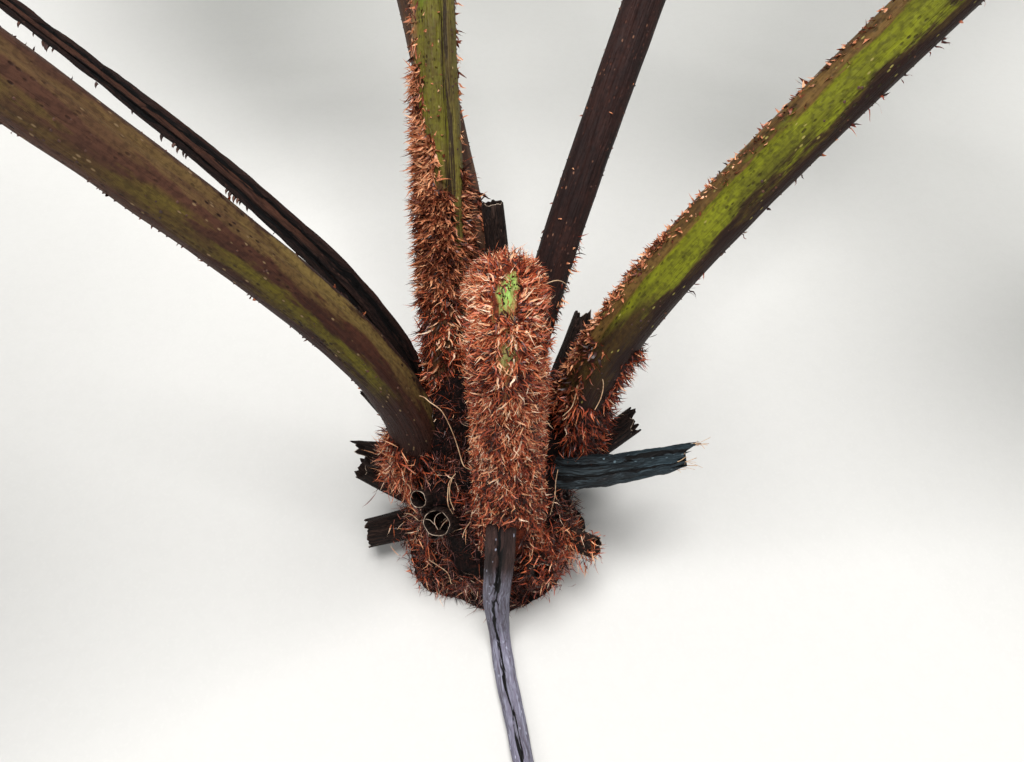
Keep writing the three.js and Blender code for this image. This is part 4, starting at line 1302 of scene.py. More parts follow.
def strap_path(points, across, width, flatness):
    """Path of a flat strap along a smooth line, its width given by distance."""
    centre = smooth_line(points)
    distance = np.concatenate([[0], np.cumsum(np.linalg.norm(np.diff(centre, axis=0), axis=1))])
    along = unit(np.gradient(centre, distance, axis=0))
    across = np.array(across, dtype=float)
    side = unit(across - along * (along @ across)[:, None])
    half = from_table(width, distance) / 2
    return Path(distance, centre, along, side, np.cross(side, along), half, flatness)


def front_relief(straight):
    """A wavering split down the middle of the strap, widest near its top, with ridges along both halves."""
    opening = 0.7 + 1.6 * np.exp(-((straight[..., 2] - 42) / 13) ** 2)
    drifting = wandering(straight, 17, 3.0)
    ridges = 0.7 * lumps(drifting * [1, 0.5, 0.06], 1.7) + 0.8 * lumps(straight * [1, 1, 0.3], 6, 4)
    return ridges - creases(drifting, HANGING_FOLDS, 9) * opening * 3.6


hanging = strap_path(HANGING_POINTS, HANGING_ACROSS, HANGING_WIDTH, HANGING_FLATNESS)
# The pale bluish lines are dry grain and painted highlight along the ridges; the split is darkened as painted
# shade.
grey_husk = dry_husk(
    "grey_husk", ((74, 52, 47), (40, 27, 25)), (178, 180, 198), 0.5, 0.6, 0.25,
    [(180, 100, 20, 50, (130, 124, 142), (78, 67, 76))], HANGING_FOLDS, 5, 38,
)
near = np.arange(0, HANGING_FINE_TO, HANGING_FINE_STEP)
stations = np.concatenate([near, np.arange(HANGING_FINE_TO, HANGING_BLADE_START + 1, FRAME_STEP)])
strap = husk_piece("husk_front", hanging, stations, front_relief, grey_husk)
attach(strap, "root")
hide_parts("dead_stalk_front_upper", "dead_stalk_front_lower")

# Broken piece on the right
# A black, flattened length of an older stalk, brittle and charred in looks. It sticks out of the crown to the
# right and ends in torn fibres.
BROKEN_POINTS = [(26, -6, 80), (52, -15, 90), (88, -9, 90), (131, 2, 88)]
BROKEN_WIDTH = [(0, 19), (45, 18), (110, 13)]
BROKEN_FLATNESS = 0.3
BROKEN_ACROSS = (0, 0.8, 0.6)
BROKEN_FOLDS = (146, -162, 20, -22)
BROKEN_TORN = 12
BROKEN_ROWS = 70
broken = strap_path(BROKEN_POINTS, BROKEN_ACROSS, BROKEN_WIDTH, BROKEN_FLATNESS)
broken_length = broken.distance[-1]


def broken_end(distance, turn):
    """Distance along the broken piece with its end torn, furthest at its upper edge."""
    ring = np.stack([np.sin(turn), np.cos(turn), np.zeros_like(turn)], axis=-1)
    torn = BROKEN_TORN * (1.5 - 0.75 * np.sin(turn) + 1.2 * lumps(ring, 0.34))
    return distance - torn * (distance / broken_length) ** 3


def broken_relief(straight):
    """Three ridges along the piece, with deep folds between them."""
    strands = lumps(wandering(straight, 15, 2.4) * [1, 0.4, 0.05], 1.8)
    swelling = 0.9 * lumps(straight * [0.5, 0.5, 1], 11.0, 2.0) + 0.4 * lumps(straight, 3.0, 6.0)
    return 0.8 * strands + swelling - 3.0 * creases(wandering(straight, 24, 2.4), BROKEN_FOLDS, 9)


# The blue-grey band and the pale blue-grey lines over the black rind are painted sheen; the folds are
# darkened as painted shade.
slate_sheen_husk = dry_husk(
    "slate_sheen_husk", ((7, 6, 7), (16, 13, 13)), (104, 122, 130), 0.26, 0.5, 0.2,
    [(171, 100, 20, 56, (40, 54, 61), (14, 19, 23))], BROKEN_FOLDS, 5,
)
stations = np.linspace(0, broken_length - 1, BROKEN_ROWS)
piece = husk_piece("husk_right", broken, stations, broken_relief, slate_sheen_husk, broken_end)
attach(piece, "root")
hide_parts("broken_strap_right")

# Stubs of broken stalks
# Stubs of older stalks stand in the trunk all round it, black rind round a rotted hollow, snapped off ragged.
# The fine pale line inside a rim is the ring of harder strands that stiffened the stalk.
# Each row: root, mouth, and radius at both.
STUBS = {
    "left_upper": ((-38, 8, 70), (-76, 3, 84), (10, 7.5)),
    "left_lower": ((-38, -4, 21), (-79, -16, 22), (10.5, 9.5)),
    "front_left_upper": ((-24, -8, 58), (-40, -30, 86), (9.5, 5.5)),
    "front_left_lower": ((-18, -16, 50), (-29, -43, 82), (10, 8.3)),
    "front_right": ((24, -38, 38), (31, -61, 58), (7.5, 6)),
    "right_front": ((36, -20, 34), (62, -42, 52), (8, 6.5)),
    "right_upper": ((46, 2, 70), (85, 16, 100), (8, 7.5)),
    "back_right": ((40, 38, 88), (58, 69, 131), (9.5, 8)),
    "back": ((12, 50, 98), (2, 93, 197), (7, 6)),
}
RING_COUNT = 7
RING_FROM = 20
RING_TO = 176
RING_HEIGHTS = (36, 62)
RING_LIFT = 42
RING_REACH = (80, 88)
RING_INNER = 0.42
RING_RADIUS = (10, 8)
STUB_FLATNESS = 0.9
STUB_COLUMNS = 40
STUB_ROWS = 14
STUB_SPARE = 12
RAGGED = {
    "left_upper": 4.0, "left_lower": 2.6, "front_left_upper": 0.6, "front_left_lower": 0.8,
    "front_right": 1.6, "right_front": 2.4, "right_upper": 4.0, "back_right": 4.5, "back": 1.0,
}
RAGGED_ELSE = 3.0
SLANTED = {"left_upper": (-4, 4, 3), "back_right": (2, 6, 4), "right_upper": (4, 4, 4)}
WALL = 0.14
HOLLOW_DEPTH = 16
RIM_WIRE = 0.21
WIRE_SIDES = 3
WIRE_AWAY = [0.31, 0.17, 0.94]
STUB_SHIFT = 3.7
# Which part of a rim shows its strands, from and to in turns.
RIM_ARCS = {
    "front_left_upper": (0, 1), "front_left_lower": (0, 1),
    "left_lower": (0.3, 0.75), "back_right": (0.1, 0.7),
}
STRAND_SEED = 75
# The loose strand in the widest hollow at the front: its curl and its side branch, in shares of the rim.
CURL = [(0.1, 1.0), (-0.12, 0.78), (-0.24, 0.4), (-0.16, -0.05), (0.05, -0.3), (0.26, -0.5)]
BRANCH = [(-0.95, 0.0), (-0.6, 0.06), (-0.3, -0.08), (0.0, -0.22)]

for i in range(RING_COUNT):
    azimuth = math.radians(RING_FROM + (RING_TO - RING_FROM) * i / (RING_COUNT - 1))
    height = RING_HEIGHTS[i % 2]
    outer = RING_REACH[i % 2]
    inner = outer * RING_INNER
    climb = math.tan(math.radians(RING_LIFT)) * (outer - inner) / 2
    lean = TRUNK_LEAN * height / TRUNK_TOP
    level = np.array([math.cos(azimuth), math.sin(azimuth), 0])
    up = np.array([0, 0, 1.0])
    foot = lean + level * inner + up * (height - climb)
    mouth = lean + level * outer + up * (height + climb)
    STUBS[f"ring_{i + 1}"] = (foot, mouth, RING_RADIUS)


def stub_path(root, tip, radius):
    """Straight path of a stub from its root to its tip, and a little further."""
    ends = np.array([root, tip], dtype=float)
    length = np.linalg.norm(ends[1] - ends[0])
    along = (ends[1] - ends[0]) / length
    side = unit(np.cross(along, [0, 0, 1.0]))
    rows = [np.tile(row, (3, 1)) for row in (along, side, np.cross(side, along))]
    centre = np.vstack([ends, ends[1] + along * STUB_SPARE])
    half = np.array([*radius, radius[1]], dtype=float)
    return Path(np.array([0, length, length + STUB_SPARE]), centre, *rows, half, STUB_FLATNESS)


def stub_shell(path, shift, ragged, slant):
    """Points, faces, straightened places and inner rim of a thin hollow stub with a ragged, slanted end."""
    length = path.distance[1]
    turn = turns_round(STUB_COLUMNS)
    ring = np.stack([np.sin(turn), np.cos(turn), np.full_like(turn, shift)], axis=-1)
    out = ring[:, :1] * path.lines["side"][0] + ring[:, 1:2] * path.lines["upper"][0]
    jagged = lumps(ring, 0.5) + 0.9 * lumps(ring, 0.22, 4.0)
    uneven = ragged * jagged - 0.8 + out @ np.array(slant, dtype=float)
    rows = [(length * u, 1.0, u ** 4) for u in np.linspace(0, 1, STUB_ROWS)]
    rows += [(length + 0.2, 1 - WALL * 0.5, 1.0), (length - 0.5, 1 - WALL, 1.0)]
    rows += [(length - HOLLOW_DEPTH * u, 1 - WALL - 0.1 * u, 1 - u) for u in (0.3, 0.6, 1.0)]
    points = []
    straight = []
    for distance, share, follow in rows:
        places = distance + uneven * follow
        half = path.half_at(places)
        flat = np.stack([half * np.sin(turn), half * np.cos(turn), places + shift], axis=-1)
        dented = 0.05 * half * lumps(ring * [1, 1, 0] + [0, 0, shift + distance / 40], 0.9)
        ridges = 0.4 * lumps(flat * [1, 1, 0.08], 2.0) if share == 1.0 else 0.0
        ring_points, _ = path.surface(places, turn, 0.0, half * (share - 1) + ridges + dented)
        points.append(ring_points)
        straight.append(flat)
    return np.vstack(points), closed_faces(len(rows), STUB_COLUMNS), np.vstack(straight), points[STUB_ROWS]


def rings_round(points, along, away, radius, sides):
    """Rings of points round a line; the first of each lies square to the line and to the given direction."""
    side = unit(np.cross(along, away))
    other = np.cross(side, along)
    turns = 2 * math.pi * np.arange(sides) / sides
    return np.stack([points + radius * (math.cos(t) * side + math.sin(t) * other) for t in turns], axis=1)


def wire(points, radius, closed=False):
    """Points and faces of a thin three-sided thread through the points."""
    points = np.asarray(points, dtype=float)
    along = np.roll(points, -1, axis=0) - np.roll(points, 1, axis=0)
    if not closed:
        along[0] = points[1] - points[0]
        along[-1] = points[-1] - points[-2]
    rings = rings_round(points, unit(along), WIRE_AWAY, radius, WIRE_SIDES)
    if not closed:
        return rings.reshape(-1, 3), closed_faces(len(points), WIRE_SIDES)
    last = WIRE_SIDES * (len(points) - 1)
    meeting = [[last + k, last + (k + 1) % WIRE_SIDES, (k + 1) % WIRE_SIDES, k] for k in range(WIRE_SIDES)]
    return rings.reshape(-1, 3), grid_faces(len(points), WIRE_SIDES) + meeting


def joined(parts):
    """Points and faces of several shapes together."""
    points = []
    faces = []
    start = 0
    for part_points, part_faces in parts:
        points.append(part_points)
        faces += [[corner + start for corner in face] for face in part_faces]
        start += len(part_points)
    return np.vstack(points), faces


def rim_strands(rng, name, path, rim):
    """Thin strands that show along a stub's inner rim: the whole ring on some stubs, else a broken arc."""
    count = len(rim)
    rim = rim + 0.45 * np.stack([lumps(rim, 3.5, shift) for shift in (0, 3, 6)], axis=-1)
    thick = RIM_WIRE * (1 + 0.9 * lumps(rim, 2.5, 9.0))[:, None]
    start = rng.uniform(0, 1)
    end = start + rng.uniform(0.2, 0.45)
    start, end = RIM_ARCS.get(name, (start, end))
    if end - start == 1:
        strands = [wire(rim, thick, closed=True)]
    else:
        shares = np.linspace(start, end, max(5, int((end - start) * count)))
        picked = [round(u * count) % count for u in shares]
        strands = [wire(rim[picked], thick[picked])]
    if name == "front_left_lower":
        centre = rim.mean(axis=0)
        sideways = -path.lines["side"][0] * path.half[1]
        upwards = path.lines["upper"][0] * path.half[1] * STUB_FLATNESS
        for line in (CURL, BRANCH):
            rows = [centre + (1 - WALL) * (a * sideways + b * upwards) for a, b in line]
            strands.append(wire(smooth_line(rows)[::12], RIM_WIRE * 0.9))
    return joined(strands)


stub_rind = dry_husk(
    "stub_rind", ((8, 6, 6), (28, 19, 17)), (92, 68, 58), 0.3, 0.7, 0.15, [], (), 5)
strand_tints = ((182, 160, 140), (128, 108, 92), (182, 160, 140))
strand_finish = mottled_finish("stub_strands", 0.5, 0.004, strand_tints)
rng = np.random.default_rng(STRAND_SEED)
for number, (name, (root, tip, radius)) in enumerate(STUBS.items()):
    path = stub_path(root, tip, radius)
    ragged = RAGGED.get(name, RAGGED_ELSE)
    slant = SLANTED.get(name, (0, 0, 0))
    points, faces, straight, rim = stub_shell(path, STUB_SHIFT * number, ragged, slant)
    stub = make_piece("husk_stub_" + name, points, faces, [stub_rind], straight=straight)
    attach(stub, "root")
    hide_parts("stub_" + name)
    points, faces = rim_strands(rng, name, path, rim)
    strands = make_piece("strands_stub_" + name, points, faces, [strand_finish])
    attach(strands, "root")
    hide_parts("stub_" + name)

# Coat of the trunk
# Between the old bases the trunk is matted with fibres and fallen scales, dead tissue that clings by its
# roots in clumps, with bare black gaps between them. None grow at the mouths of the hollow stubs.
CLUMP_SIZE = 13
MOUTH_CLEAR = 13
MATTED_ORDER = np.array([0, 8, 6, 9, 2, 5])
MATTED_DEEP = 0.8
MATTED_SPREAD = 0.8
MATTED_CURL = (-0.5, 0.6)
TUFT_WIDTH = (0.4, 0.9)
TUFT_HANGING = 0.75
TUFT_STRETCH = [1, 1, 1.7]
TRUNK_COAT_SEED = 60
# Each row: from and to round the trunk in degrees, from and to up it, count, length, width, lift, share that
# hangs, how much of the skin is covered, mix, order of the tints.
TRUNK_COATS = [
    (0, 360, 4, 126, 5200, (5, 11), (0.35, 0.8), (0, 40), 0.5, 0.08, BLACK_MIX, RUSTY_ORDER),
    (176, 266, 5, 92, 2500, (7, 15), (0.22, 0.6), (0, 36), 0.75, 0.08, MATTED_MIX, MATTED_ORDER),
    (278, 352, 8, 70, 2000, (5, 11), (0.3, 0.7), (0, 40), 0.55, 0.2, DARK_MIX, MATTED_ORDER),
    (190, 350, 2, 20, 800, (5, 10), (0.3, 0.7), (0, 30), 0.6, 0.2, MATTED_MIX, MATTED_ORDER),
    (160, 300, 84, 130, 1700, (5, 12), (0.25, 0.7), (0, 40), 0.7, 1.0, BLACK_MIX, MATTED_ORDER),
]
# Each tuft: middle, how far it spreads, count, length, lift, mix.
TUFTS = [
    ((-51, -13, 92), 4.6, 460, (8, 14), (0, 40), BRIGHT_MIX),
    ((45, -36, 46), 4.5, 260, (6, 10), (0, 40), BRIGHT_MIX),
    ((58, -40, 47), 3.5, 150, (5, 9), (0, 40), BRIGHT_MIX),
    ((30, -44, 52), 7.5, 420, (6, 11), (0, 50), DARK_MIX),
    ((31, -60, 54), 4, 200, (4, 8), (0, 40), DARK_MIX),
    ((-38, -34, 18), 6, 240, (5, 9), (0, 40), DARK_MIX),
    ((-44, -26, 40), 6, 160, (6, 10), (0, 40), GLINT_MIX),
]


def trunk_coat(rng, roots, length, width, lift, hanging, mix, order):
    """Ribbons and tones of scales that hang down or stand up on the trunk, matted in all directions."""
    count = len(roots)
    out = unit((roots - TRUNK_LEAN * roots[:, 2:3] / TRUNK_TOP) * [1, 1, 0])
    flow = np.where(rng.random(count)[:, None] < hanging, [0.0, 0.0, -1.0], [0.0, 0.0, 1.0])
    lengths = rng.uniform(*length, count)
    widths = rng.uniform(*width, count)
    sunk = roots - MATTED_DEEP * out
    points = ribbons(rng, sunk, flow, out, lengths, widths, lift, MATTED_SPREAD, MATTED_CURL)
    return points, order[ribbon_tones(rng, roots, mix)]


mouths = np.array([tip for _, tip, _ in STUBS.values()], dtype=float)
rng = np.random.default_rng(TRUNK_COAT_SEED)
batches = []
for turn_from, turn_to, low, high, count, length, width, lift, hangs, covered, mix, order in TRUNK_COATS:
    turn = np.radians(rng.uniform(turn_from, turn_to, count))
    skin = trunk_point(turn, rng.uniform(low, high, count))
    kept = lumps(skin, CLUMP_SIZE) + covered > 0
    kept &= np.linalg.norm(skin[:, None] - mouths, axis=-1).min(axis=1) > MOUTH_CLEAR
    batches.append(trunk_coat(rng, skin[kept], length, width, lift, hangs, mix, order))
for at, spread, count, length, lift, mix in TUFTS:
    roots = np.array(at) + rng.normal(0, spread, (count, 3)) * TUFT_STRETCH
    batches.append(trunk_coat(rng, roots, length, TUFT_WIDTH, lift, TUFT_HANGING, mix, RUSTY_ORDER))
coat_piece("scales_trunk", batches, "scales", "trunk")

# Loose fibres
# Dry pale threads that have peeled off old stalks are caught in the crown and cling to the scales. Others
# stand out of the torn end of the broken piece, as part of it.
FIBRES = [
    [(-37, -1, 143), (-33, -4, 145), (-30, -7, 145), (-24, -11, 143), (-20, -15, 136), (-17, -19, 128),
     (-15, -23, 122), (-13, -28, 118), (-8, -38, 128)],
    [(28, 46, 173), (31, 48, 177), (37, 50, 178), (42, 53, 173), (45, 56, 165)],
    [(-18, -24, 103), (-21, -30, 104), (-22, -34, 99), (-22, -38, 94), (-20, -38, 84)],
    [(-20, -25, 100), (-21, -31, 100), (-21, -35, 94), (-19, -38, 88)],
    [(38, -24, 107), (37, -27, 99), (37, -30, 91), (35, -32, 73)],
    [(-51, -20, 83), (-48, -21, 88), (-45, -24, 91), (-44, -26, 88), (-46, -28, 86)],
    [(-10, -43, 84), (-13, -45, 79), (-15, -45, 70)],
    [(48, 6, 144), (47, 2, 139), (45, -2, 134), (40, -8, 134)],
    [(59, 5, 155), (61, 2, 149), (60, -2, 142), (57, -6, 137)],
    [(-50, -26, 64), (-45, -30, 69), (-41, -34, 70)],
    [(-38, -38, 29), (-32, -42, 29), (-26, -46, 27), (-24, -50, 21)],
]
FIBRE_RADIUS = 0.3
FIBRE_KEPT_EVERY = 6
points, faces = joined([wire(smooth_line(row)[::FIBRE_KEPT_EVERY], FIBRE_RADIUS) for row in FIBRES])
fibre_tints = ((214, 178, 140), (170, 128, 96), (214, 178, 140))
fibre_finish = mottled_finish("fibre", 0.5, 0.004, fibre_tints)
fibres = make_piece("loose_fibres", points, faces, [fibre_finish])
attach(fibres, "root")
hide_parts("trunk")

BROKEN_FIBRES = 26
TORN_SEED = 76
TORN_FIBRE = (5, 13)
TORN_RADIUS = (0.12, 0.25)
TORN_BEND = 0.35
rng = np.random.default_rng(TORN_SEED)
torn_parts = []
for _ in range(BROKEN_FIBRES):
    turn = np.array([rng.uniform(0, 2 * math.pi)])
    end = broken_end(np.array([broken_length - 1.0]), turn)
    root, out = broken.surface(end - 3, turn)
    ahead = broken.direction("along", end)[0]
    length = rng.uniform(*TORN_FIBRE)
    bent = rng.normal(0, TORN_BEND, 3)
    line = [root[0] - out[0] * 0.6 + length * (ahead * u + bent * u * u) for u in np.linspace(0, 0.8, 5)]
    torn_parts.append(wire(line, rng.uniform(*TORN_RADIUS)))
points, faces = joined(torn_parts)
torn = make_piece("torn_fibres_right", points, faces, [fibre_finish])
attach(torn, "root")
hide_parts("broken_strap_right")

# Blades of the live fronds
# Past its bare stalk each frond carries pairs of leaflets on the rib, and each leaflet is cut into two rows
# of lobed pinnules. They are thin leathery leaf, held flat and drooping a little towards their tips.
LEAFLET_FIRST = 10
LEAFLET_LAST = 12
LEAFLET_PITCH = (88, 42)
PITCH_FALLS = 0.8
LEAFLET_FILL = 1.0
LEAFLET_ANGLE = (80, 48)
LEAFLET_SAG = 0.1
LEAFLET_OUTLINE = [(0, 0.5), (0.12, 1), (0.62, 0.9), (0.85, 0.55), (1, 0)]
SMALL_LEAFLET = 130
SMALL_OUTLINE = [(0, 0.6), (0.25, 1), (0.7, 0.7), (1, 0)]
LEAFLET_SHORTEST = 24
LEAFLET_BROADEST = 0.42
LEAFLET_END_ROOM = 20
NEIGHBOUR_ROOM = 8
BLADE_FOOT = 0.5
BLADE_RISE = 1.7
BLADE_TAPER = 2.4
BLADE_CUTS = (0.34, 0.68)
ROOM_STEP = 6
RIB_COLUMNS = 18
RIB_STEP = 12
RIB_GROOVE = 0.08
MIDRIB_SIDES = 4
MIDRIB_POINTS = 9
MIDRIB_END = 0.99
MIDRIB_BELOW = 0.35
MIDRIB_THICK = 0.7
MIDRIB_SHARE = 0.0052
MIDRIB_TIP = 0.35
PINNULES_FROM = 0.05
PINNULES_TO = 0.97
LOBES = 6
PINNULE_PITCH = 0.34
PINNULE_NARROWEST = 4.5
PINNULE_LEAN = math.radians(72)
LEAF_SEED = 80
NEIGHBOURS = {
    "right": ("back_right",), "back_right": ("right", "back_left"), "back_left": ("back_right", "back"),
    "back": ("back_left", "dead"), "dead": ("back", "left"), "left": ("dead",),
}
all_paths = {**live_paths, "dead": dead_path}
all_fronds = {**LIVE_FRONDS, "dead": DEAD_FROND}


def plan_azimuth(path, reach):
    """Azimuth in plan of a frond where it is that far out from the trunk."""
    centre = path.line("centre", np.arange(0, path.distance[-1] + 1, FRAME_STEP))
    out = np.maximum.accumulate(np.hypot(centre[:, 0], centre[:, 1]))
    found = centre[np.minimum(np.searchsorted(out, reach), len(out) - 1)]
    return np.arctan2(found[..., 1], found[..., 0])


def turn_between(first, second):
    """Turn from the second azimuth to the first, within half a circle."""
    return np.arctan2(np.sin(first - second), np.cos(first - second))


def room_for(name, root, out, length):
    """Length at which a leaflet's tip still keeps to its own frond's part of the crown."""
    lengths = np.arange(length, LEAFLET_SHORTEST, -ROOM_STEP)
    if not len(lengths):
        return 0
    tips = root + np.outer(lengths + NEIGHBOUR_ROOM, out)
    reach = np.hypot(tips[:, 0], tips[:, 1])
    own = plan_azimuth(all_paths[name], reach)
    tip_turn = turn_between(np.arctan2(tips[:, 1], tips[:, 0]), own)
    clear = np.ones(len(lengths), dtype=bool)
    for other in NEIGHBOURS[name]:
        turn = turn_between(plan_azimuth(all_paths[other], reach), own)
        share = all_fronds[name]["share"] / (all_fronds[name]["share"] + all_fronds[other]["share"])
        clear &= (turn * tip_turn < 0) | (np.abs(tip_turn) < np.abs(turn) * share)
    return lengths[clear][0] if clear.any() else 0


def leaflets_of(name, start, cuts, pitch, fill):
    """Leaflets of a frond from its foot to its tip: root, direction, upper side, length and breadth."""
    frond = all_fronds[name]
    path = all_paths[name]
    found = []
    distance = start + LEAFLET_END_ROOM + LEAFLET_FIRST
    while distance < frond["length"] - LEAFLET_LAST:
        v = (distance - start) / (frond["length"] - start)
        step = pitch[0] + (pitch[1] - pitch[0]) * v ** PITCH_FALLS
        size = min(1, BLADE_FOOT + BLADE_RISE * v) * (1 - v ** BLADE_TAPER)
        length = max(LEAFLET_SHORTEST, frond["leaflet"] * size)
        angle = math.radians(LEAFLET_ANGLE[0] + (LEAFLET_ANGLE[1] - LEAFLET_ANGLE[0]) * v)
        off_cuts = all(abs(distance - cut) > LEAFLET_END_ROOM for cut in cuts)
        for hand in (-1, 1) if off_cuts else ():
            root = path.line("centre", distance)
            out = path.direction("along", distance) * math.cos(angle)
            out = out + path.direction("side", distance) * hand * math.sin(angle)
            allowed = room_for(name, root, out, length)
            if allowed:
                breadth = min(step * fill, allowed * LEAFLET_BROADEST)
                found.append((root, out, path.direction("upper", distance), allowed, breadth))
        distance += step
    return found


def pinnule_shape(lobes, droop, fold):
    """Points and faces of one pinnule, 1 long and 1 to each side: a midrib with pairs of blunt lobes."""
    points = [(x, 0.0) for x in np.linspace(0, 0.94, lobes + 1)] + [(1.0, 0.0)]
    faces = []
    for k in range(lobes):
        start = 0.94 * k / lobes
        step = 0.94 / lobes
        reach = min(1.0, 0.72 + 1.2 * start) * (1 - start ** 2.6) * 0.98 + 0.06
        for hand in (-1, 1):
            first = len(points)
            points += [(start + step * 0.22, hand * reach * 0.9), (start + step * 0.72, hand * reach),
                       (start + step * 1.02, hand * reach * 0.78)]
            face = [k, first, first + 1, first + 2, k + 1]
            faces.append(face[::-1] if hand > 0 else face)
    faces += [[lobes + 1, len(points) - 1, lobes], [lobes + 1, lobes, len(points) - 4]]
    flat = np.array(points)
    height = -droop * flat[:, 0] ** 2 - fold * np.abs(flat[:, 1])
    return np.column_stack([flat, height]), faces


def leaf_pieces(rng, leaflets, sag, shape, wither):
    """Points, faces and tones of all the pinnules of the leaflets, and the midribs that carry them."""
    template, template_faces = shape
    roots, forward, across, upper, sizes, halves, tones = [], [], [], [], [], [], []
    midribs = []
    for root, out, normal, length, breadth in leaflets:
        outline = SMALL_OUTLINE if length < SMALL_LEAFLET else LEAFLET_OUTLINE
        tone = rng.integers(0, 4)
        tilt = rng.normal(0, 0.05 + wither * 0.3)
        sideways = unit(np.cross(out, normal))
        lifted = unit(normal + sideways * tilt)
        sideways = unit(np.cross(out, lifted))
        u = PINNULES_FROM
        while u < PINNULES_TO:
            reach = breadth / 2 * from_table(outline, u)
            step = max(PINNULE_NARROWEST, PINNULE_PITCH * reach * 1.25)
            place = root + out * length * u - np.array([0, 0, sag * length * u * u])
            ahead = unit(out - np.array([0, 0, 2 * sag * u]))
            for which in (-1, 1):
                lean = PINNULE_LEAN + rng.normal(0, 0.06 + wither * 0.35)
                direction = ahead * math.cos(lean) + sideways * which * math.sin(lean)
                direction = unit(direction + lifted * rng.normal(-0.04 - wither * 0.3, 0.06 + wither * 0.25))
                roots.append(place + ahead * (which * 0.25 * step))
                forward.append(direction)
                upper.append(unit(lifted - direction * (lifted @ direction)))
                sizes.append(reach * rng.uniform(0.94, 1.04) * (1 - 0.25 * wither))
                halves.append(0.48 * step * rng.uniform(0.94, 1.06) * (1 - 0.45 * wither))
                tones.append(min(3, max(0, tone + rng.integers(-1, 2) * (rng.random() < 0.25))))
            u += step / length
        line = []
        for s in np.linspace(0, MIDRIB_END, MIDRIB_POINTS):
            row = root + out * length * s - np.array([0, 0, sag * length * s * s])
            line.append(row - lifted * MIDRIB_BELOW)
        midribs.append(tapered(line, max(MIDRIB_THICK, length * MIDRIB_SHARE), MIDRIB_TIP))
    forward = np.array(forward)
    upper = np.array(upper)
    across = np.cross(upper, forward)
    sizes = np.array(sizes)[:, None, None]
    halves = np.array(halves)[:, None, None]
    points = (
        np.array(roots)[:, None] + forward[:, None] * template[None, :, 0:1] * sizes
        + across[:, None] * template[None, :, 1:2] * halves + upper[:, None] * template[None, :, 2:3] * sizes)
    starts = len(template) * np.arange(len(roots))
    faces = [[corner + start for corner in face] for start in starts.tolist() for face in template_faces]
    return points, faces, np.repeat(tones, len(template_faces)), joined(midribs)


def tapered(line, thick, thin):
    """Points and faces of a rod along a line of points, its radius going from thick to thin."""
    line = np.array(line)
    along = unit(np.gradient(line, axis=0))
    radius = np.linspace(thick, thin, len(line))[:, None]
    rings = rings_round(line, along, [0, 0, 1.0], radius, MIDRIB_SIDES)
    return rings.reshape(-1, 3), closed_faces(len(line), MIDRIB_SIDES)


def rib_shape(path, start, end, groove, midribs):
    """Points and faces of a frond's rib together with the midribs of its leaflets."""
    rib_points, rib_faces, _ = tube(path, np.arange(start, end, RIB_STEP), RIB_COLUMNS, groove)
    return joined([(rib_points, rib_faces), midribs])


def leaf_green(name, upper, spot, under):
    """Finish of leaf: green above with faint spots, paler and duller from below."""
    finish, tree, shader = new_finish("leaf_" + name, 0.75, 0.08)
    top = mottled(tree, object_place(tree), 0.02, upper, spot, upper)
    below = add(tree, "ShaderNodeNewGeometry").outputs["Backfacing"]
    tree.links.new(blended(tree, below, top, under), shader.inputs["Base Color"])
    return finish


# Each row: above, its spots, and from below.
LEAF_TINTS = {
    "deep": ((34, 72, 20), (28, 60, 18), (74, 104, 58)),
    "mid": ((44, 86, 22), (37, 76, 20), (86, 116, 64)),
    "bright": ((58, 102, 25), (50, 92, 23), (98, 128, 70)),
    "young": ((78, 118, 30), (68, 108, 28), (110, 138, 76)),
}
leaf_finishes = [leaf_green(name, *tints) for name, tints in LEAF_TINTS.items()]
rib_tints = ((104, 104, 46), (88, 76, 40), (122, 120, 60))
rib_finish = mottled_finish("rib_rind", 0.5, 0.02, rib_tints)
live_shape = pinnule_shape(LOBES, 0.14, 0.1)
for number, (name, path) in enumerate(live_paths.items()):
    rng = np.random.default_rng(LEAF_SEED + number)
    length = LIVE_FRONDS[name]["length"]
    cuts = [BLADE_START + (length - BLADE_START) * u for u in BLADE_CUTS]
    leaflets = leaflets_of(name, BLADE_START, cuts, LEAFLET_PITCH, LEAFLET_FILL)
    points, faces, tones, midribs = leaf_pieces(rng, leaflets, LEAFLET_SAG, live_shape, 0.0)
    rib_points, rib_faces = rib_shape(path, BLADE_START, length + 1, RIB_GROOVE, midribs)
    leaves = make_piece("leaves_" + name, points, faces, leaf_finishes, tones)
    ribs = make_piece("ribs_" + name, rib_points, rib_faces, [rib_finish])
    for piece in (leaves, ribs):
        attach(piece, "root")
        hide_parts(f"blade_{name}_lower", f"blade_{name}_middle", f"blade_{name}_tip")

# Withered blades
# The blades of the two dead fronds are the same leaf dried brown. The leaflets hang down or lie on the
# ground, and their pinnules are shrunken and curled.
DEAD_PITCH = (72, 48)
DEAD_FILL = 0.42
DEAD_SAG = 0.75
FALLEN_LEAFLET = 150
FALLEN_PITCH = 58
FALLEN_FILL = 0.5
FALLEN_SPREAD = 0.88
FALLEN_LIFT = 1.2
FALLEN_FIRST = 0.7
DEAD_WITHER = 0.8
FALLEN_WITHER = 0.6
DEAD_RIB_GROOVE = 0.1
DEAD_LEAF_SEED = 90
FALLEN_LEAF_SEED = 91
WITHERED_TINTS = {
    "dark": ((66, 44, 32), (50, 34, 26)),
    "brown": ((98, 66, 44), (80, 52, 36)),
    "tan": ((130, 94, 62), (108, 76, 50)),
    "straw": ((156, 122, 84), (136, 102, 68)),
}
dead_finishes = [
    mottled_finish("withered_" + name, 0.8, 0.012, (main, spots, main))
    for name, (main, spots) in WITHERED_TINTS.items()
]
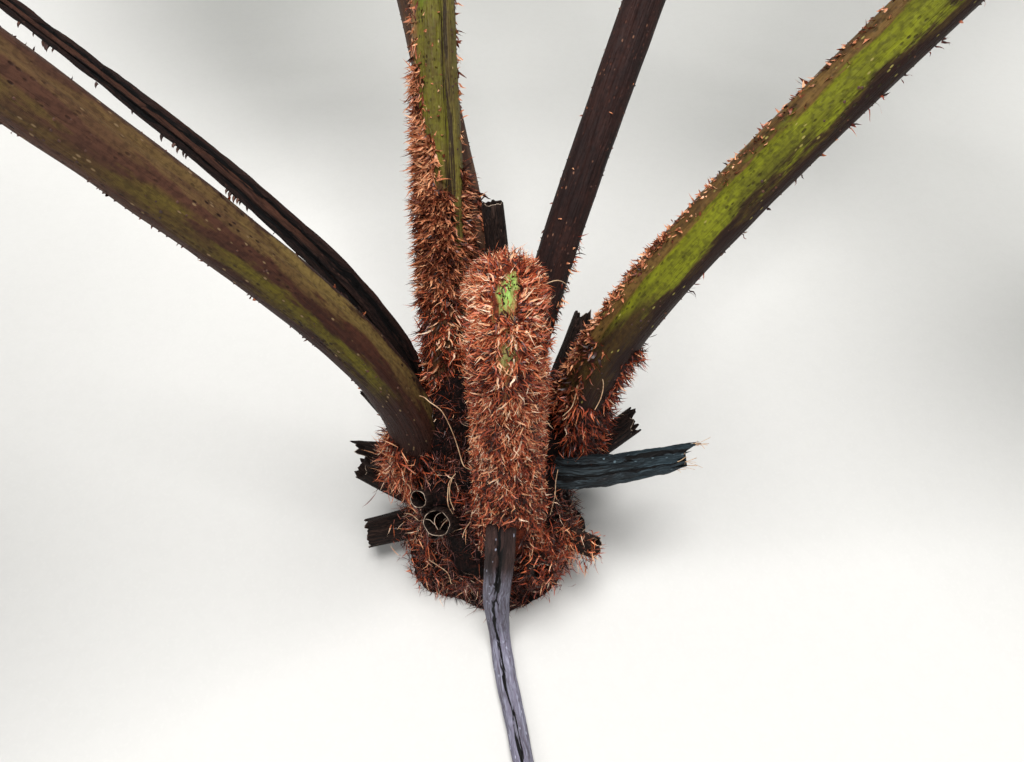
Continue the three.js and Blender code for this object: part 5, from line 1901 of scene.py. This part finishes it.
dead_shape = pinnule_shape(LOBES - 1, 0.4, 0.25)
rng = np.random.default_rng(DEAD_LEAF_SEED)
dead_cut = (DEAD_BLADE_START + DEAD_FROND["length"]) / 2
leaflets = leaflets_of("dead", DEAD_BLADE_START, [dead_cut], DEAD_PITCH, DEAD_FILL)
points, faces, tones, midribs = leaf_pieces(rng, leaflets, DEAD_SAG, dead_shape, DEAD_WITHER)
dead_end = DEAD_FROND["length"] + 1
rib_points, rib_faces = rib_shape(dead_path, DEAD_BLADE_START, dead_end, DEAD_RIB_GROOVE, midribs)
dead_leaves = make_piece("withered_leaves_left", points, faces, dead_finishes, tones)
dead_ribs = make_piece("withered_ribs_left", rib_points, rib_faces, [dead_finishes[0]])
for piece in (dead_leaves, dead_ribs):
    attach(piece, "root")
    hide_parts("dead_blade_left_upper", "dead_blade_left_tip")

rng = np.random.default_rng(FALLEN_LEAF_SEED)
hanging_length = hanging.distance[-1]
leaflets = []
distance = HANGING_BLADE_START + FALLEN_FIRST * FALLEN_PITCH
while distance < hanging_length:
    v = (distance - HANGING_BLADE_START) / (hanging_length - HANGING_BLADE_START)
    for hand in (-1, 1):
        sideways = hanging.direction("side", distance) * FALLEN_SPREAD * hand
        out = hanging.direction("along", distance) + sideways
        out = unit(out * [1, 1, 0] + [0, 0, -0.02])
        size = FALLEN_LEAFLET * (0.55 + 0.45 * math.sin(5 * v + hand)) * (1 - v ** 3)
        if size > LEAFLET_SHORTEST:
            root = hanging.line("centre", distance)
            leaflets.append((root, out, np.array([0, 0, 1.0]), size, FALLEN_PITCH * FALLEN_FILL))
    distance += FALLEN_PITCH
points, faces, tones, midribs = leaf_pieces(rng, leaflets, 0.0, dead_shape, FALLEN_WITHER)
rib_points, rib_faces = rib_shape(hanging, HANGING_BLADE_START, hanging_length, DEAD_RIB_GROOVE, midribs)
points[..., 2] = np.maximum(points[..., 2], FALLEN_LIFT)
rib_points[:, 2] = np.maximum(rib_points[:, 2], FALLEN_LIFT)
fallen_leaves = make_piece("withered_leaves_front", points, faces, dead_finishes, tones)
fallen_ribs = make_piece("withered_ribs_front", rib_points, rib_faces, [dead_finishes[0]])
for piece in (fallen_leaves, fallen_ribs):
    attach(piece, "root")
    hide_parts("dead_blade_front")

# Floor and light
# The plant stands on a plain pale floor in soft, even studio light from above.
FLOOR_SIZE = 60
FLOOR_TINTS = ((205, 203, 199), (204, 202, 198), (206, 204, 200))
floor_mesh = bpy.data.meshes.new("floor")
reach = FLOOR_SIZE / 2
corners = [(-reach, -reach, 0), (reach, -reach, 0), (reach, reach, 0), (-reach, reach, 0)]
floor_mesh.from_pydata(corners, [], [(0, 1, 2, 3)])
floor = bpy.data.objects.new("floor", floor_mesh)
bpy.context.scene.collection.objects.link(floor)
floor_mesh.materials.append(mottled_finish("floor", 0.8, 0.01, FLOOR_TINTS))
floor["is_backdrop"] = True

SKY_STRENGTH = 4.0
SKY_SPREAD = math.radians(34)
FRONT_SIZE = 1.6
FRONT_POWER = 30
SKY_PLACE = (0.0, 0.1, 3.0)
FRONT_PLACE = (-1.6, -2.4, 2.2)
FRONT_TURN = (0.9, 0, -0.59)
WORLD_TINT = (0.92, 0.95, 1.0, 1)
WORLD_STRENGTH = 0.3
sky = bpy.data.lights.new("sky", "SUN")
sky.energy = SKY_STRENGTH
sky.angle = SKY_SPREAD
front = bpy.data.lights.new("front", "AREA")
front.energy = FRONT_POWER
front.size = FRONT_SIZE
for lamp, place, turned in ((sky, SKY_PLACE, (0, 0, 0)), (front, FRONT_PLACE, FRONT_TURN)):
    light = bpy.data.objects.new(lamp.name, lamp)
    light.location = place
    light.rotation_euler = turned
    bpy.context.scene.collection.objects.link(light)
world = bpy.data.worlds.new("studio")
bpy.context.scene.world = world
world.use_nodes = True
world.node_tree.nodes["Background"].inputs["Color"].default_value = WORLD_TINT
world.node_tree.nodes["Background"].inputs["Strength"].default_value = WORLD_STRENGTH
bpy.context.scene.view_settings.view_transform = "Standard"

# Bounds of the model, leaving out the floor
low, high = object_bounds()
